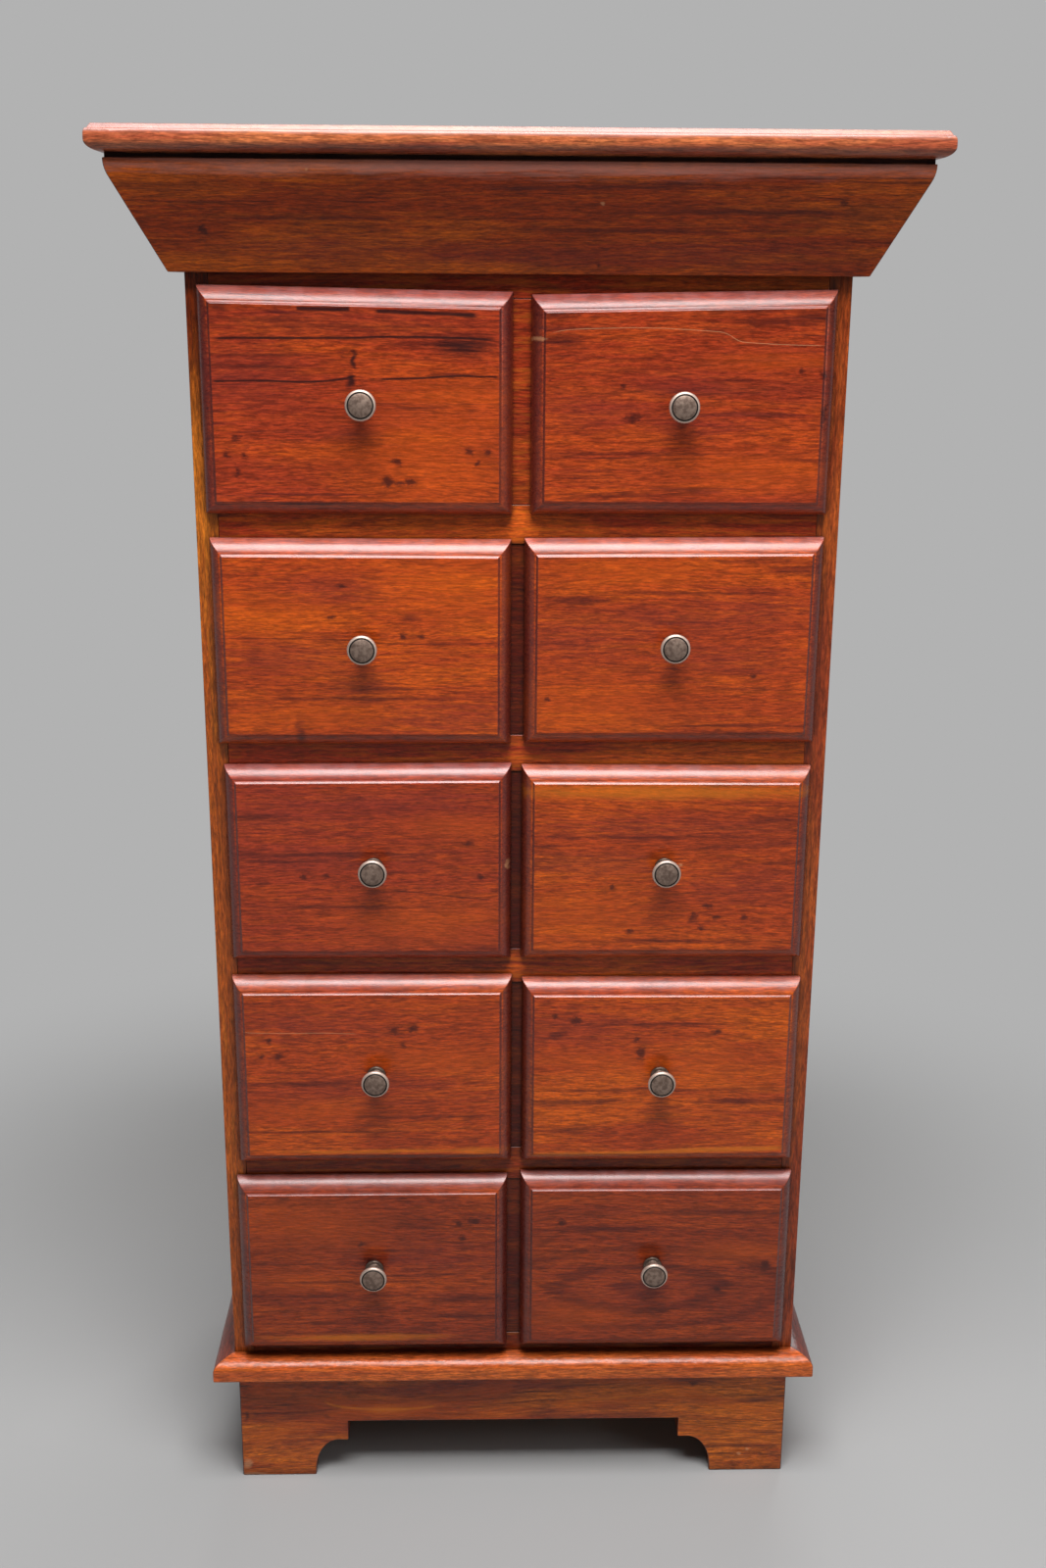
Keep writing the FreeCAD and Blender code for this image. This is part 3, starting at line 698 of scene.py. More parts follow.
plinth_marks = {
    "knot": [(-139, 14, 2.5, 2.5), (-146, 5, 2, 2), (-209, 6, 1.5, 4), (141, 32, 4, 1.5)],
    "stain": [(3, 43, 26, 4), (160, 42, 22, 5), (192, 17, 12, 2), (170, -26, 34, 1)],
    "haze": [(-30, 30, 60, 8), (-170, -14, 40, 20), (60, 4, 50, 6)],
    "gold": [(-100, 11, 14, 3)],
    "nick": [(-210, -38, 3, 4), (186, -29, 1.5, 1), (180, -33, 1.2, 1), (-206, -47, 8, 1)]}
plinth_threads = [
    ("glow", 11.0, [(-212, 36), (-160, 22), (-100, 13), (-50, 20), (6, 33)]),
    ("glow", 11.0, [(-212, -18), (-160, -2), (-100, 9), (-40, 4), (20, 10)]),
    ("glow", 8.0, [(30, 12), (80, 18), (130, 22), (150, 20)]),
    ("glow", 8.0, [(60, 38), (110, 34), (160, 16), (212, 4)]),
    ("gold", 1.6, [(-150, 20), (-100, 11), (-60, 14)]),
    ("gold", 1.2, [(40, 17), (80, 20), (120, 26)]),
    ("line", 1.2, [(-206, 8), (-170, 9), (-140, 12)])]
three_sides = {"front": "X", "left": "Y", "right": "Y"}
for number, (part, along) in enumerate(three_sides.items()):
    node = "plinth_" + part
    blemishes = marked(middle_of(node), plinth_marks, plinth_threads) if part == "front" else None
    eased(node, "cabinet", "red_mahogany",
          polished("plinth_hardwood_" + part, along, 21.3 + number, pale=(200, 102, 20),
                   body=(144, 57, 20), deep=(64, 25, 16), golden=0.75, veins=0.9, wander=2.6,
                   moulded=0.0, marks=blemishes),
          arris=0.0009)


# ---- base moulding ---------------------------------------------------------------------------
# Three lengths of quarter-round moulding over a square fillet, mitred at the front corners and
# planted round the foot of the carcass. The front one is the brightest, and those at the sides are
# painted darker, as painted shade.

# Painted shade: the side lengths get darker colours than the front one.
shaded_moulding = dict(pale=(120, 50, 24), body=(92, 32, 20), moulded=0.3)
moulding_colours = {"front": dict(pale=(204, 104, 38), body=(181, 81, 33), moulded=0.06),
                    "left": shaded_moulding, "right": shaded_moulding}
for number, (part, along) in enumerate(three_sides.items()):
    eased("base_moulding_" + part, "cabinet", "red_mahogany",
          polished("base_moulding_hardwood_" + part, along, 31.7 + number, golden=0.4,
                   veins=0.2, wander=0.6, gleam=0.42, dust_and_sheen=0.0, **moulding_colours[part]),
          arris=0.0003)


# ---- cornice ---------------------------------------------------------------------------------
# Three leaning boards, mitred at the front corners, with an upright band above the slope. A dark
# strip in a rebate along the top is painted shadow, standing in for the line of shade under the top
# board. The cornice lies in its own shade, and was stained a browner red than the fronts.

cornice_marks = {
    "knot": [(-199, -10, 3, 3), (202, 9, 3, 2), (49, -29, 1.5, 1)],
    "stain": [(5, 16, 26, 0.9), (90, 19, 30, 1), (60, 17, 60, 0.8)],
    "haze": [(-120, -20, 60, 8), (120, -22, 70, 8), (0, -24, 120, 6)],
    "line": [(-150, -2, 50, 0.6), (60, -8, 80, 0.6), (140, 3, 60, 0.6)],
    # A pale band painted along the top: dust, and a painted sheen.
    "dust_and_sheen": [(0, 30, 270, 6)],
    "nick": [(-132, 26, 1, 1), (50, 7, 1.2, 0.7)]}
for number, (part, along) in enumerate(three_sides.items()):
    node = "cornice_" + part
    blemishes = marked(middle_of(node), cornice_marks) if part == "front" else None
    eased(node, "cabinet", "red_mahogany",
          polished("cornice_hardwood_" + part, along, 71.4 + number, pale=(180, 82, 6),
                   body=(136, 46, 4), deep=(64, 19, 8), golden=0.7, veins=0.6, moulded=0.0,
                   shine=0.22, marks=blemishes),
          arris=0.0005)


rebate_depth = 0.006
rebate_height = 0.003
strip_inset = 0.0012
strip_clearance = 0.00005


def painted_shadow_strip():
    """Dark strip of painted shadow that fills the rebate on three sides, a little behind the
    cornice's face.
    """
    low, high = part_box("cornice_front")
    left, right, front = low[0], high[0], low[1]
    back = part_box("cornice_left")[1][1] - strip_inset
    points = []
    for inset in (strip_inset, rebate_depth - strip_clearance):
        for z in (high[2] - rebate_height + strip_clearance, high[2] - strip_clearance):
            points += [(left + inset, back, z), (left + inset, front + inset, z),
                       (right - inset, front + inset, z), (right - inset, back, z)]
    outer_low, outer_high, inner_low, inner_high = 0, 4, 8, 12
    section = (outer_low, outer_high, inner_high, inner_low)
    lengths = len(points) // len(section) - 1
    faces = [(first + n, first + n + 1, second + n + 1, second + n) for n in range(lengths)
             for first, second in zip(section, section[1:] + section[:1])]
    faces += [section, tuple(corner + lengths for corner in reversed(section))]
    mesh = bpy.data.meshes.new("shadow_line_strip")
    mesh.from_pydata(points, [], faces)
    # Near-black wood: painted shadow.
    mesh.materials.append(polished("painted_shadow_strip_wood", "X", 77.0, pale=(52, 24, 16),
                                   body=(36, 16, 12), deep=(20, 10, 8), moulded=0.0, shine=0.1,
                                   dust_and_sheen=0.0))
    return mesh


shown("shadow_line_strip", painted_shadow_strip(), "cabinet", "red_mahogany")


# ---- top board -------------------------------------------------------------------------------
# Solid top jointed up from boards. On three sides the raised field slopes down to a ledge, and under
# a flat round, painted paler with dust and a painted sheen, comes a wide soft round.

top_strip = 0.112
# A pale line painted along the front edge: dust, and a painted sheen.
top_marks = {"dust_and_sheen": [(0, 4.6, 290, 1.8)]}
eased("top_board", "cabinet", "red_mahogany",
      polished("top_hardwood", "X", 81.0, pale=(188, 106, 60), body=(152, 72, 46), golden=0.7,
               dust_and_sheen=0.18, boards=jointed(top_strip, "Y"),
               marks=marked(middle_of("top_board"), top_marks)),
      arris=0.0003)


# ---- drawer fronts ---------------------------------------------------------------------------
# Ten lipped fronts, each worked from one board: a rounded edge that is broader above and meets
# the flat field at a slant, over a small step. The boards came from different logs, so they run
# from orange to brown, each with its own knots, stains and streaks.

logs = {"orange": dict(pale=(196, 86, 10), body=(160, 58, 16), deep=(94, 30, 20)),
        "red": dict(pale=(176, 70, 14), body=(148, 50, 22), deep=(80, 24, 22)),
        "brown": dict(pale=(172, 70, 14), body=(134, 48, 18), deep=(66, 22, 18))}
# Each front has its log, its figure, its blemishes, and its threads.
fronts = {
    "r1_left": ("red", dict(golden=0.5, veins=0.9), dict(
        knot=[(-79, -23, 3, 2), (-86, -34, 2, 2), (-74, -34, 2, 2), (-79, -45, 1.5, 3),
              (26, -38, 3, 2), (73, -31, 3, 2.5), (85, -31, 2, 2), (79, -39, 1.5, 1.5),
              (20, -51, 3, 4), (35, -51, 4, 3), (28, -52, 6, 1)],
        char=[(70, 36, 15, 6), (-1, 27, 1.6, 6), (-3, 14, 2.4, 5)],
        stain=[(50, 37, 24, 2), (-88, 60, 8, 3), (-68, 22.6, 30, 1.4)],
        line=[(-60, 30, 36, 0.6), (10, 48, 60, 0.8), (-60, 52, 30, 0.8)],
        haze=[(-1, -20, 12, 4), (-70, 20, 34, 20), (-20, 50, 70, 8)],
        glow=[(50, -32, 46, 26), (60, 4, 40, 8)]),
        [("char", 1.2, [(-96, 40), (-50, 40.5), (-10, 40.5), (30, 41.5), (94, 38)]),
         ("char", 1.1, [(-95, 13), (-60, 13.5), (-30, 13), (-8, 15), (2, 20)]),
         ("char", 1.1, [(14, 15), (40, 15.5), (70, 17), (95, 16)]),
         ("char", 2.2, [(-38, 59), (-20, 58.5), (-2, 58.5)]),
         ("char", 2.0, [(12, 57.5), (45, 56.5), (80, 55)])]),
    "r1_right": ("red", dict(golden=0.5, veins=0.7), dict(
        knot=[(-39, 11, 2, 1.5), (-33.5, -9, 5, 2.5), (77, 21, 2, 1.5), (90, 19, 2, 2),
              (92, -6, 1.5, 8)],
        stain=[(-80, 40, 12, 3), (84, 56, 12, 3), (-84, 56, 10, 2.5), (60, 52, 30, 2)],
        line=[(38, 15, 13, 0.6), (-30, -32, 62, 0.7), (82, -35.6, 13, 0.7), (-40, -59, 37, 1.2),
              (30, 60, 60, 0.8)],
        haze=[(0, 12, 26, 9), (4, -14, 26, 8), (-60, -4, 30, 10)],
        glow=[(50, -46, 50, 12), (60, 28, 36, 5)], nick=[(-95.5, 41, 4, 1.2)]),
        [("nick", 0.35, [(-89.5, 43), (-44, 48), (21, 46), (39, 39.5), (94, 37.6)])]),
    "r2_left": ("orange", dict(golden=0.45, veins=0.3), dict(
        knot=[(-20, 19.5, 3, 1.2), (28, 6.4, 2.6, 2.6), (41, 6.4, 2.4, 1.6), (-13, 41, 3, 1.5)],
        stain=[(34, 20, 5, 2.4), (-43, -63, 2.6, 10)],
        line=[(0, -37, 60, 0.8), (20, -30, 30, 0.7)],
        haze=[(-20, 38, 30, 8), (-50, -8, 40, 10), (60, -52, 40, 12), (0, -28, 16, 10)],
        glow=[(60, 40, 42, 20), (-60, 22, 34, 12), (-30, -50, 40, 8)]),
        [("line", 0.6, [(-96, 5), (-20, 4), (0, 3), (30, 1), (96, 2)])]),
    "r2_right": ("orange", dict(golden=0.25, veins=0.5), dict(
        knot=[(55, -22, 2, 1.6), (-85, -39, 2, 1.5)],
        stain=[(85, 51, 14, 3), (-65, 29, 18, 3)],
        line=[(10, 35, 50, 0.7), (50, -62, 44, 1), (40, -57, 50, 0.7)],
        haze=[(-60, 4, 36, 14), (0, 14, 50, 12), (50, 22, 44, 12), (30, -10, 40, 10)],
        glow=[(-50, -44, 44, 16), (-30, 50, 40, 10)]), []),
    "r3_left": ("red", dict(golden=0.35, veins=0.4), dict(
        knot=[(-47, -7.5, 2.5, 1.5), (-29, -7, 2.5, 1.5), (70, 17, 3, 2), (78, -8, 2, 2)],
        stain=[(-35, 9, 55, 1.6), (-80, 36, 16, 2)],
        line=[(-60, 4, 30, 0.7), (-20, -30, 60, 0.6)],
        haze=[(-60, 40, 40, 18), (0, 48, 60, 8), (-40, 6, 60, 8)],
        glow=[(60, 30, 34, 7), (40, -44, 50, 12)], nick=[(97, 0, 1.5, 3)]),
        [("line", 0.8, [(16, -18), (40, -20), (64, -23), (87, -25)])]),
    "r3_right": ("orange", dict(golden=0.4, veins=0.5), dict(
        knot=[(32, -29, 3, 2), (21.5, -38, 3, 3), (27, -46, 2, 2), (37, -38, 2.5, 2),
              (58, -38, 2.5, 2), (-25, -49, 2.5, 2), (-37, -15, 2, 2)],
        stain=[(78, 34, 14, 2.5), (83, 3, 14, 2)],
        line=[(-83, 15, 8, 0.7), (-10, 22, 70, 0.8), (10, -56, 60, 0.7)],
        haze=[(0, 28, 70, 8), (60, -14, 40, 10), (-50, 2, 40, 8)],
        glow=[(-56, -40, 38, 16)], gold=[(0, 54.5, 96, 4.5)], nick=[(11, 1, 1.5, 0.8)]), []),
    "r4_left": ("orange", dict(golden=0.4, veins=0.4), dict(
        knot=[(16, 35, 3, 3), (30, 36, 3, 3), (23, 23, 2, 2), (-75, 27, 2, 2),
              (-68.5, 15, 3, 2.5), (-81, 15, 2, 1.6)],
        stain=[(-50, -7, 46, 1.8), (20, -68, 76, 3)],
        line=[(40, -34, 50, 0.7), (-30, -46, 60, 0.7)],
        haze=[(-50, 40, 46, 12), (-30, -12, 60, 8)],
        glow=[(46, 12, 46, 9), (-40, -30, 40, 8)], gold=[(76, -62, 16, 2.5), (0, -62, 60, 1.2)]),
        [("nick", 0.35, [(-94, 34), (-60, 33), (-30, 33), (-10, 32)])]),
    "r4_right": ("orange", dict(golden=0.75, veins=0.4), dict(
        knot=[(-62, 44, 4, 3), (-77, 47, 2, 2), (-18, 28, 2, 2), (-15, 17.5, 3, 5),
              (41, 33.5, 2.5, 2)],
        stain=[(-75, 32, 5, 2.5), (-62, -22, 30, 2), (60, -22, 34, 2), (-69, -44, 18, 3)],
        line=[(0, 40, 60, 0.6), (0, -12, 80, 0.7)],
        haze=[(-60, 36, 36, 12)], glow=[(30, 6, 60, 14), (-40, 10, 44, 8)]),
        [("gold", 3.0, [(-97, -65), (-30, -64), (40, -61), (97, -60)])]),
    "r5_left": ("brown", dict(golden=0.5, veins=0.6), dict(
        knot=[(-8.5, 20, 2.2, 2.2), (-3.4, 6, 5, 3), (77, 39, 4, 3), (65, 37, 2.5, 2),
              (67, 25, 2, 2)],
        stain=[(70, -27, 24, 2.5), (70, -42, 26, 2.5), (-35, -47, 42, 1.3)],
        line=[(-60, -24, 36, 0.9), (-20, -12, 60, 0.7)],
        haze=[(40, 10, 40, 12)], glow=[(-50, 36, 46, 16), (-60, -10, 30, 8)],
        gold=[(-10, -60, 52, 2.5)]), []),
    "r5_right": ("brown", dict(golden=0.35, veins=0.5), dict(
        knot=[(-71, 36, 3, 2.5), (84, -1, 3.5, 4), (48, -22, 2.5, 2), (0.6, 5, 2, 2)],
        stain=[(-40, 30, 46, 2), (50, 44, 44, 2)],
        haze=[(-11, -20, 40, 12)], glow=[(-60, -44, 36, 10), (60, 10, 30, 8)]), [])}
hearts = {"r5_right": (-11, -20, 51, 16)}
for number, (place, (log, figure, marks, threads)) in enumerate(fronts.items()):
    node = "drawer_" + place + "_front"
    eased(node, "drawer_" + place, "red_mahogany",
          polished(node + "_hardwood", "X", 101.0 + 1.37 * number, **logs[log], **figure,
                   marks=marked(middle_of(node), marks, threads, hearts.get(place))),
          arris=0.0005)


# ---- drawer boxes ----------------------------------------------------------------------------
# Raw sides lapped over the ends of the front's block, a back let in between them, and a thin
# plywood bottom slid into grooves. Three flush nails hold each corner.

nail_margin = 0.014
nails_to_a_corner = 3
lap_middle = 0.004
back_middle = 0.005
for number, place in enumerate(fronts):
    drawer = "drawer_" + place
    eased(drawer + "_box", drawer, "inner_wood", raw(drawer + "_box_wood", "Y", 131.0 + number),
          arris=0)
    eased(drawer + "_bottom", drawer, "back_ply", raw(drawer + "_ply", "X", 151.0 + number),
          arris=0.0003)
    low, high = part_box(drawer + "_box")
    reach = high[2] - low[2] - 2 * nail_margin
    for hand, x, turn in (("left", low[0], -math.pi / 2), ("right", high[0], math.pi / 2)):
        lines = [[(x, y, low[2] + nail_margin), (x, y, high[2] - nail_margin)]
                 for y in (low[1] + lap_middle, high[1] - back_middle)]
        shown(drawer + "_nails_" + hand,
              made(drawer + "_nails_" + hand, pins_in_rows, chain("nail_lines", *lines),
                   {"Spacing": reach / (nails_to_a_corner - 1), "Head radius": 0.0013,
                    "Proud": 0.00004, "Facing": (0, turn, 0), "Steel": pin_steel}),
              drawer, "aged_brass")


# ---- knobs and their screws ------------------------------------------------------------------
# Small turned brass knobs: a flange, a straight neck, a head that flares out to a thick rim, and
# a ring turned in the face round a domed disc. Years of hands have rubbed the rim pale and left
# the rest grey and dark. A slotted screw holds each knob from inside the drawer.

def make_lathe():
    """Winds a half profile round an axis along Y. The profile's X is the radius and its Y the
    distance out from the seat, towards the front."""
    tree, given, result = new_maker(
        "turned_on_a_lathe", [("Profile", "Geometry", None), ("Turns", "Int", 64),
                              ("Seat", "Vector", (0, 0, 0)), ("Metal", "Material", None)])
    count = put(tree, "GeometryNodeAttributeDomainSize", {0: given["Profile"]}).outputs[0]
    columns = sums(tree, "ADD", given["Turns"], 1.0)
    strip = put(tree, "GeometryNodeMeshGrid", {"Size X": 1.0, "Size Y": 1.0, "Vertices X": count,
                                               "Vertices Y": columns}).outputs[0]
    here = put(tree, "GeometryNodeInputPosition").outputs[0]
    parts = parts_of(tree, here)
    row = sums(tree, "ROUND", times(tree, sums(tree, "ADD", parts["X"], 0.5),
                                    less(tree, count, 1.0)))
    angle = times(tree, sums(tree, "ADD", parts["Y"], 0.5), -math.tau)
    sample = put(tree, "GeometryNodeSampleIndex", {0: given["Profile"], 1: here, 2: row},
                 data_type="FLOAT_VECTOR").outputs[0]
    radius, out = parts_of(tree, sample)[:2]
    turned = vector_of(tree, times(tree, radius, sums(tree, "COSINE", angle)),
                       times(tree, out, -1.0), times(tree, radius, sums(tree, "SINE", angle)))
    strip = put(tree, "GeometryNodeSetPosition", {"Geometry": strip, "Position": turned})
    welded = put(tree, "GeometryNodeMergeByDistance", {"Geometry": strip.outputs[0],
                                                       "Distance": 1e-6}).outputs[0]
    kept = put(tree, "GeometryNodeStoreNamedAttribute",
               {"Geometry": welded, "Name": "turning", "Value": here},
               data_type="FLOAT_VECTOR", domain="POINT").outputs[0]
    seated = put(tree, "GeometryNodeTransform", {"Geometry": kept,
                                                 "Translation": given["Seat"]}).outputs[0]
    smooth = put(tree, "GeometryNodeSetShadeSmooth", {"Geometry": seated}).outputs[0]
    finish_maker(tree, smooth, given["Metal"], result)
    return tree


def bend(centre, radius, start, end, steps=8, rise=None):
    """Points of a round stretch about a centre, from one angle to another in degrees."""
    angles = [math.radians(start + (end - start) * n / steps) for n in range(steps + 1)]
    return [(centre[0] + radius * math.cos(a), centre[1] + (rise or radius) * math.sin(a))
            for a in angles]


turned_on_a_lathe = make_lathe()
seat_gap = 0.05
flange_radius, flange_thickness, flange_bead, flange_chamfer = 6.9, 2.2, 1.1, 0.2
neck_radius, neck_top, neck_fillet = 4.6, 9.0, 0.7
head_radius, head_under, head_bead = 10.1, 13.6, 1.7
head_face = head_under + 2 * head_bead
ring_radius, ring_half_width, ring_floor, ring_depth, ring_lip = 8.2, 0.4, 0.2, 0.6, 0.05
dome_height = 1.4
dome_share = 0.96
dome_edge = ring_radius - ring_half_width
dome_radius = (dome_edge ** 2 + dome_height ** 2) / (2 * dome_height)
dome_turn = math.degrees(math.asin(dome_edge / dome_radius))
flat_edge = head_radius - head_bead
knob_profile = [(0.0, seat_gap), (flange_radius - flange_chamfer, seat_gap)]
knob_profile += bend((flange_radius - flange_bead, flange_bead), flange_bead, -25, 90, 7)
knob_profile += bend((neck_radius + neck_fillet, flange_thickness + neck_fillet), neck_fillet,
                     270, 180, 4)
knob_profile += bend((flat_edge, neck_top), flat_edge - neck_radius, 180, 90, 9,
                     rise=head_under - neck_top)
knob_profile += bend((flat_edge, head_under + head_bead), head_bead, -80, 84, 12)
knob_profile += [(ring_radius + ring_half_width, head_face - ring_lip),
                 (ring_radius + ring_floor, head_face - ring_depth),
                 (ring_radius - ring_floor, head_face - ring_depth),
                 (dome_edge, head_face - ring_lip)]
knob_profile += bend((0.0, head_face + dome_height - dome_radius), dome_radius,
                     90 - dome_turn * dome_share, 90, 10)
screw_radius, screw_shank, screw_head, screw_rise, screw_round = 2.0, 4.0, 4.0, 2.4, 1.0
screw_profile = [(0.0, -screw_rise)]
screw_profile += bend((screw_head - screw_round, screw_round - screw_rise), screw_round,
                      -90, 0, 5)
screw_profile += [(screw_head, -seat_gap), (screw_radius, -seat_gap),
                  (screw_radius, screw_shank), (0.0, screw_shank)]


def make_slotted_screw():
    """A turned head with a slot sawn across it."""
    tree, given, result = new_maker(
        "slotted_screw", [("Profile", "Geometry", None), ("Seat", "Vector", (0, 0, 0)),
                          ("Slot width", "Float", 0.0011), ("Slot depth", "Float", 0.0011),
                          ("Head rise", "Float", screw_rise * millimetre),
                          ("Slant", "Float", 0.5), ("Metal", "Material", None)])
    head = put(tree, "GeometryNodeGroup", {"Profile": given["Profile"], "Turns": 40,
                                           "Seat": given["Seat"], "Metal": given["Metal"]},
               node_tree=turned_on_a_lathe).outputs[0]
    size = vector_of(tree, 4 * screw_head * millimetre, times(tree, given["Slot depth"], 2.0),
                     given["Slot width"])
    blade = put(tree, "GeometryNodeMeshCube", {"Size": size}).outputs[0]
    top = vectors(tree, "ADD", vector_of(tree, y=given["Head rise"]), given["Seat"])
    blade = put(tree, "GeometryNodeTransform",
                {"Geometry": blade, "Rotation": vector_of(tree, y=given["Slant"]),
                 "Translation": top}).outputs[0]
    cut = put(tree, "GeometryNodeMeshBoolean", {0: head, 1: blade}, operation="DIFFERENCE")
    finish_maker(tree, cut.outputs[0], given["Metal"], result)
    return tree


def aged_brass():
    """Brass gone grey and olive, rubbed pale round the rim, where the pale colour is also a painted
    highlight, and black in the ring and the corners.
    """
    material, tree, shader = start_material("aged_brass_turned")
    turning = put(tree, "ShaderNodeAttribute", attribute_name="turning").outputs["Vector"]
    parts = parts_of(tree, turning)
    radius = length_of(tree, vector_of(tree, x=parts["X"], z=parts["Z"]))
    outward = times(tree, parts["Y"], -1.0)
    place = own_place(tree)
    blotch = cloud(tree, place, (320, 320, 320), 4, 0.62)
    specks = cloud(tree, place, (1500, 1500, 1500), 2, 0.5)
    lines = put(tree, "ShaderNodeTexNoise", {"W": times(tree, radius, 2600.0), "Scale": 1.0,
                                             "Detail": 2.0}, noise_dimensions="1D").outputs[0]
    rim = times(tree, between(tree, radius, ring_radius * millimetre, 0.0088),
                between(tree, outward, neck_top * millimetre, 0.0135))
    colour = blend(tree, between(tree, blotch, 0.36, 0.64), tone(116, 95, 84), tone(152, 130, 116))
    dark = between(tree, sums(tree, "ADD", blotch, times(tree, specks, 0.3)),
                   0.58, 0.44, 0.0, 0.25)
    colour = blend(tree, dark, colour, tone(90, 74, 60))
    # The rim is painted pale: rubbed wear, and a painted highlight.
    colour = blend(tree, times(tree, rim, 0.8), colour, tone(214, 192, 178))
    gap = sums(tree, "ABSOLUTE", less(tree, radius, ring_radius * millimetre))
    ring = times(tree, between(tree, gap, 0.00075, 0.0003),
                 between(tree, outward, 0.0155, 0.016))
    root = between(tree, outward, 0.0034, 0.0018, 0.0, 0.6)
    gloss = sums(tree, "MULTIPLY_ADD", blotch, 0.3, 0.34)
    relief = sums(tree, "MULTIPLY_ADD", lines, 0.35, times(tree, blotch, 0.3))
    feed(tree, shader.inputs, {
        "Base Color": blend(tree, sums(tree, "MAXIMUM", ring, root), colour, tone(28, 24, 20)),
        "Metallic": sums(tree, "MULTIPLY_ADD", ring, -0.5, 0.7),
        "Roughness": sums(tree, "MULTIPLY_ADD", ring, 0.3, gloss),
        "Normal": bumped(tree, relief, 0.2, 0.0003)})
    return material


def half_profile(name, points):
    """A lathe's half profile as a chain of edges, from millimetres."""
    return chain(name, [(radius * millimetre, out * millimetre, 0.0) for radius, out in points])


slotted_screw = make_slotted_screw()
knob_brass = aged_brass()
screw_steel = steel("screw_steel")
knob_length = (head_face + dome_height) * millimetre
for number, place in enumerate(fronts):
    drawer = "drawer_" + place
    low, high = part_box(drawer + "_knob")
    x, z = (low[0] + high[0]) / 2, (low[2] + high[2]) / 2
    knob = made(drawer + "_knob_turned", turned_on_a_lathe,
                half_profile("knob_profile", knob_profile),
                {"Turns": 64, "Seat": (x, low[1] + knob_length, z), "Metal": knob_brass})
    knob.set_sharp_from_angle(angle=math.radians(50))
    shown(drawer + "_knob_turned", knob, drawer, "aged_brass", drawer + "_knob")
    screw = made(drawer + "_knob_screw", slotted_screw,
                 half_profile("screw_profile", screw_profile),
                 {"Seat": (x, high[1] - screw_rise * millimetre, z), "Slant": 0.4 + 0.7 * number,
                  "Metal": screw_steel})
    screw.set_sharp_from_angle(angle=math.radians(35))
    shown(drawer + "_knob_screw", screw, drawer, "aged_brass")


# ---- floor -----------------------------------------------------------------------------------
# A pale grey studio sweep: floor, bend and wall in one strip. Near the cabinet it takes the true
# light and shadow, and further out it is an even backdrop.

floor_reach = 6.0
floor_bend = 1.5
back_distance = 2.6
wall_height = 6.0
floor_grey = tone(163, 163, 163)
backdrop_grey = tone(178, 178, 178)
shadow_reach = 0.50
backdrop_start = 1.05
bend_steps = 12


def sweep():
    """Floor, bend and wall as one smooth strip."""
    profile = [(-floor_reach, 0.0), (back_distance - floor_bend, 0.0)]
    for step in range(1, bend_steps + 1):
        angle = math.pi / 2 * step / bend_steps
        profile.append((back_distance - floor_bend + floor_bend * math.sin(angle),
                        floor_bend - floor_bend * math.cos(angle)))
    profile.append((back_distance, wall_height))
    mesh = bpy.data.meshes.new("floor")
    points = [(side * floor_reach, y, z) for y, z in profile for side in (-1, 1)]
    faces = [(2 * n, 2 * n + 1, 2 * n + 3, 2 * n + 2) for n in range(len(profile) - 1)]
    mesh.from_pydata(points, [], faces)
    for face in mesh.polygons:
        face.use_smooth = True
    return mesh


floor = bpy.data.objects.new("studio_floor", sweep())
bpy.context.scene.collection.objects.link(floor)
material, tree, shader = start_material("floor_paper")
feed(tree, shader.inputs, {"Base Color": floor_grey, "Roughness": 0.9, "Specular IOR Level": 0.1})
rays = put(tree, "ShaderNodeLightPath").outputs
seen = sums(tree, "MAXIMUM", rays["Is Camera Ray"],
            sums(tree, "MAXIMUM", rays["Is Glossy Ray"], rays["Is Transmission Ray"]))
away = length_of(tree, own_place(tree))
even = times(tree, between(tree, away, shadow_reach, backdrop_start), seen)
glow = put(tree, "ShaderNodeEmission", {"Color": backdrop_grey, "Strength": 1.0})
mixed = put(tree, "ShaderNodeMixShader", {0: even, 1: shader.outputs[0], 2: glow.outputs[0]})
feed(tree, tree.nodes["Material Output"].inputs, {0: mixed.outputs[0]})
floor.data.materials.append(material)


# ---- light -----------------------------------------------------------------------------------
# A large soft panel high in front carries most of the light. A weak one at the right and
# one behind open up the shadows, and the room itself is dim.

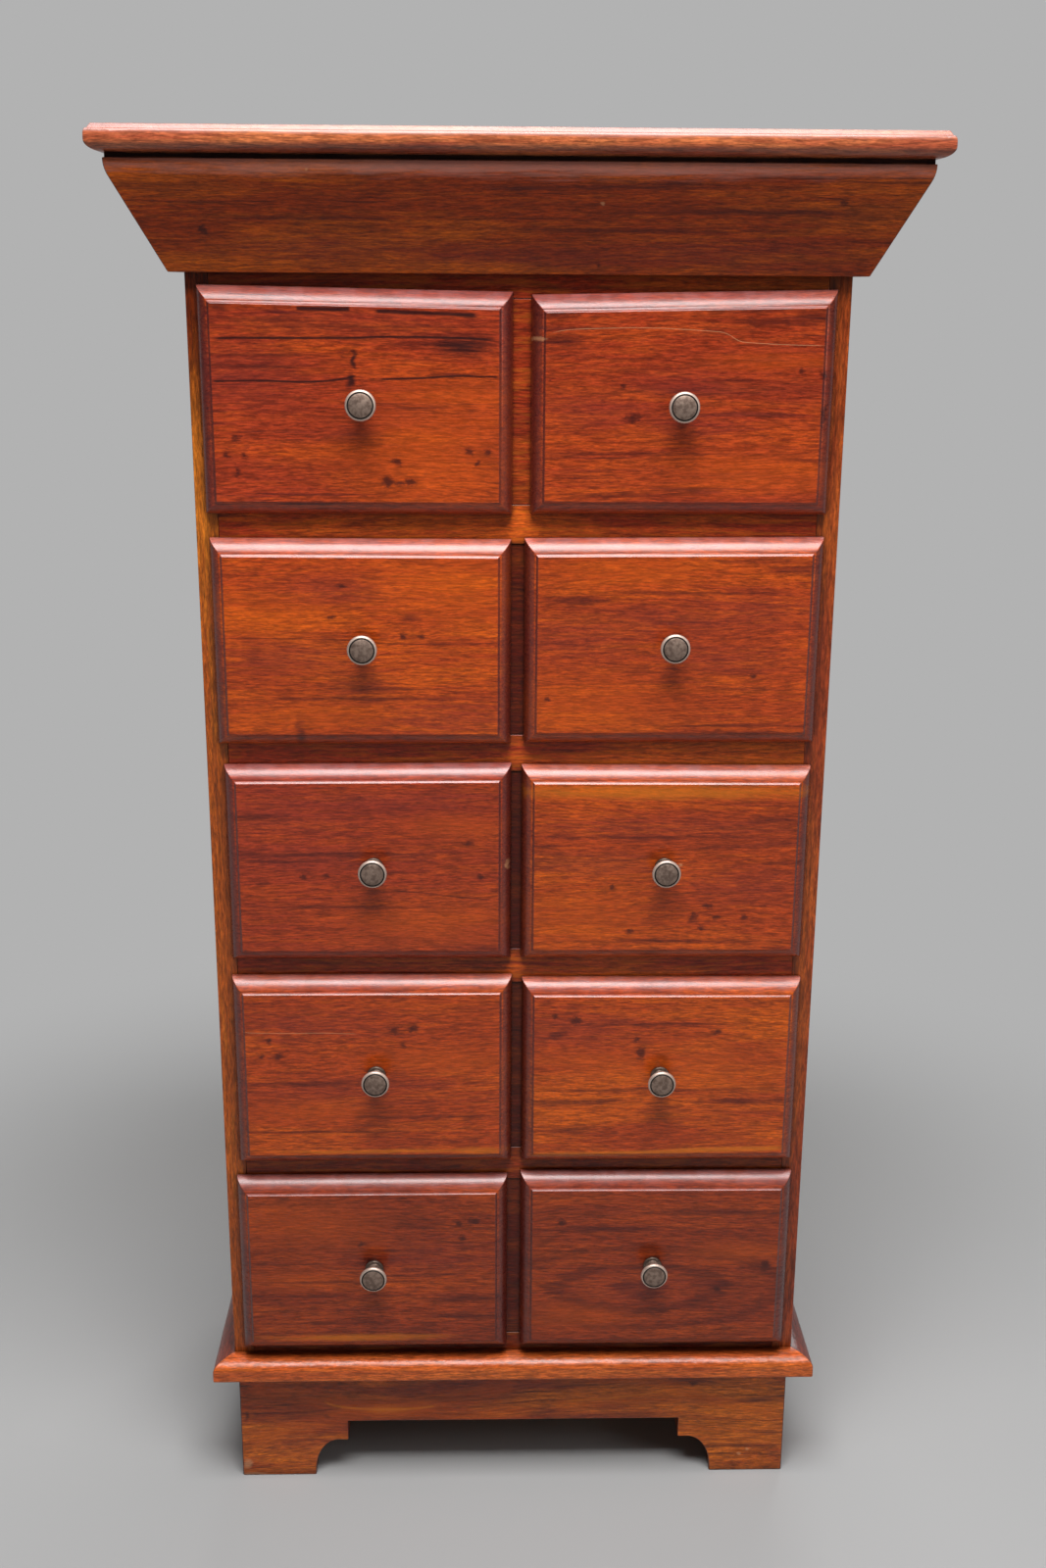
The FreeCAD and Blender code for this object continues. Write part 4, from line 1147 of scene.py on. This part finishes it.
world = bpy.data.worlds.new("room")
world.use_nodes = True
bpy.context.scene.world = world
feed(world.node_tree, world.node_tree.nodes["Background"].inputs,
     {"Color": (1.0, 1.0, 1.0, 1.0), "Strength": 0.08})


def softbox(name, place, aim, wide, tall, power):
    """Rectangular lamp that points at a spot."""
    lamp = bpy.data.lights.new(name, "AREA")
    lamp.shape = "RECTANGLE"
    lamp.size = wide
    lamp.size_y = tall
    lamp.energy = power
    holder = bpy.data.objects.new(name, lamp)
    bpy.context.scene.collection.objects.link(holder)
    holder.location = place
    holder.visible_camera = False
    holder.rotation_mode = "QUATERNION"
    holder.rotation_quaternion = (Vector(aim) - Vector(place)).to_track_quat("-Z", "Y")


softbox("overhead_softbox", (0.0, -0.88, 2.38), (0.0, -0.13, 0.6), wide=1.3, tall=1.0, power=70)
softbox("side_softbox", (1.9, -1.5, 1.6), (0.0, 0.0, 0.4), wide=1.0, tall=1.0, power=9)
softbox("rear_softbox", (0.4, 2.3, 2.0), (0.0, 0.0, 0.5), wide=1.8, tall=1.4, power=40)


# ---- camera ----------------------------------------------------------------------------------
# It stands a little left of the middle at the height of the top row, and looks down, so that
# each row shows a little more of the upper edges of its fronts than the row above.

eye = Vector((-0.02625, -1.26479, 0.9065))
focal = 1740.0
picture_height = 1600.0
pitch = math.radians(16.24)
yaw = math.radians(1.51)
roll = math.radians(0.39)
ahead = Vector((math.sin(yaw) * math.cos(pitch), math.cos(yaw) * math.cos(pitch),
                -math.sin(pitch)))
across = Vector((math.cos(yaw), -math.sin(yaw), 0.0))
upward = across.cross(ahead)
right = across * math.cos(roll) + upward * math.sin(roll)
top = upward * math.cos(roll) - across * math.sin(roll)
lens = bpy.data.cameras.new("camera")
lens.sensor_fit = "AUTO"
lens.sensor_width = 36.0
lens.lens = lens.sensor_width * focal / picture_height
camera = bpy.data.objects.new("camera", lens)
bpy.context.scene.collection.objects.link(camera)
camera.matrix_world = Matrix.Translation(eye) @ Matrix((right, top, -ahead)).transposed().to_4x4()
bpy.context.scene.camera = camera
bpy.context.scene.view_settings.view_transform = "Standard"

bpy.context.view_layer.update()
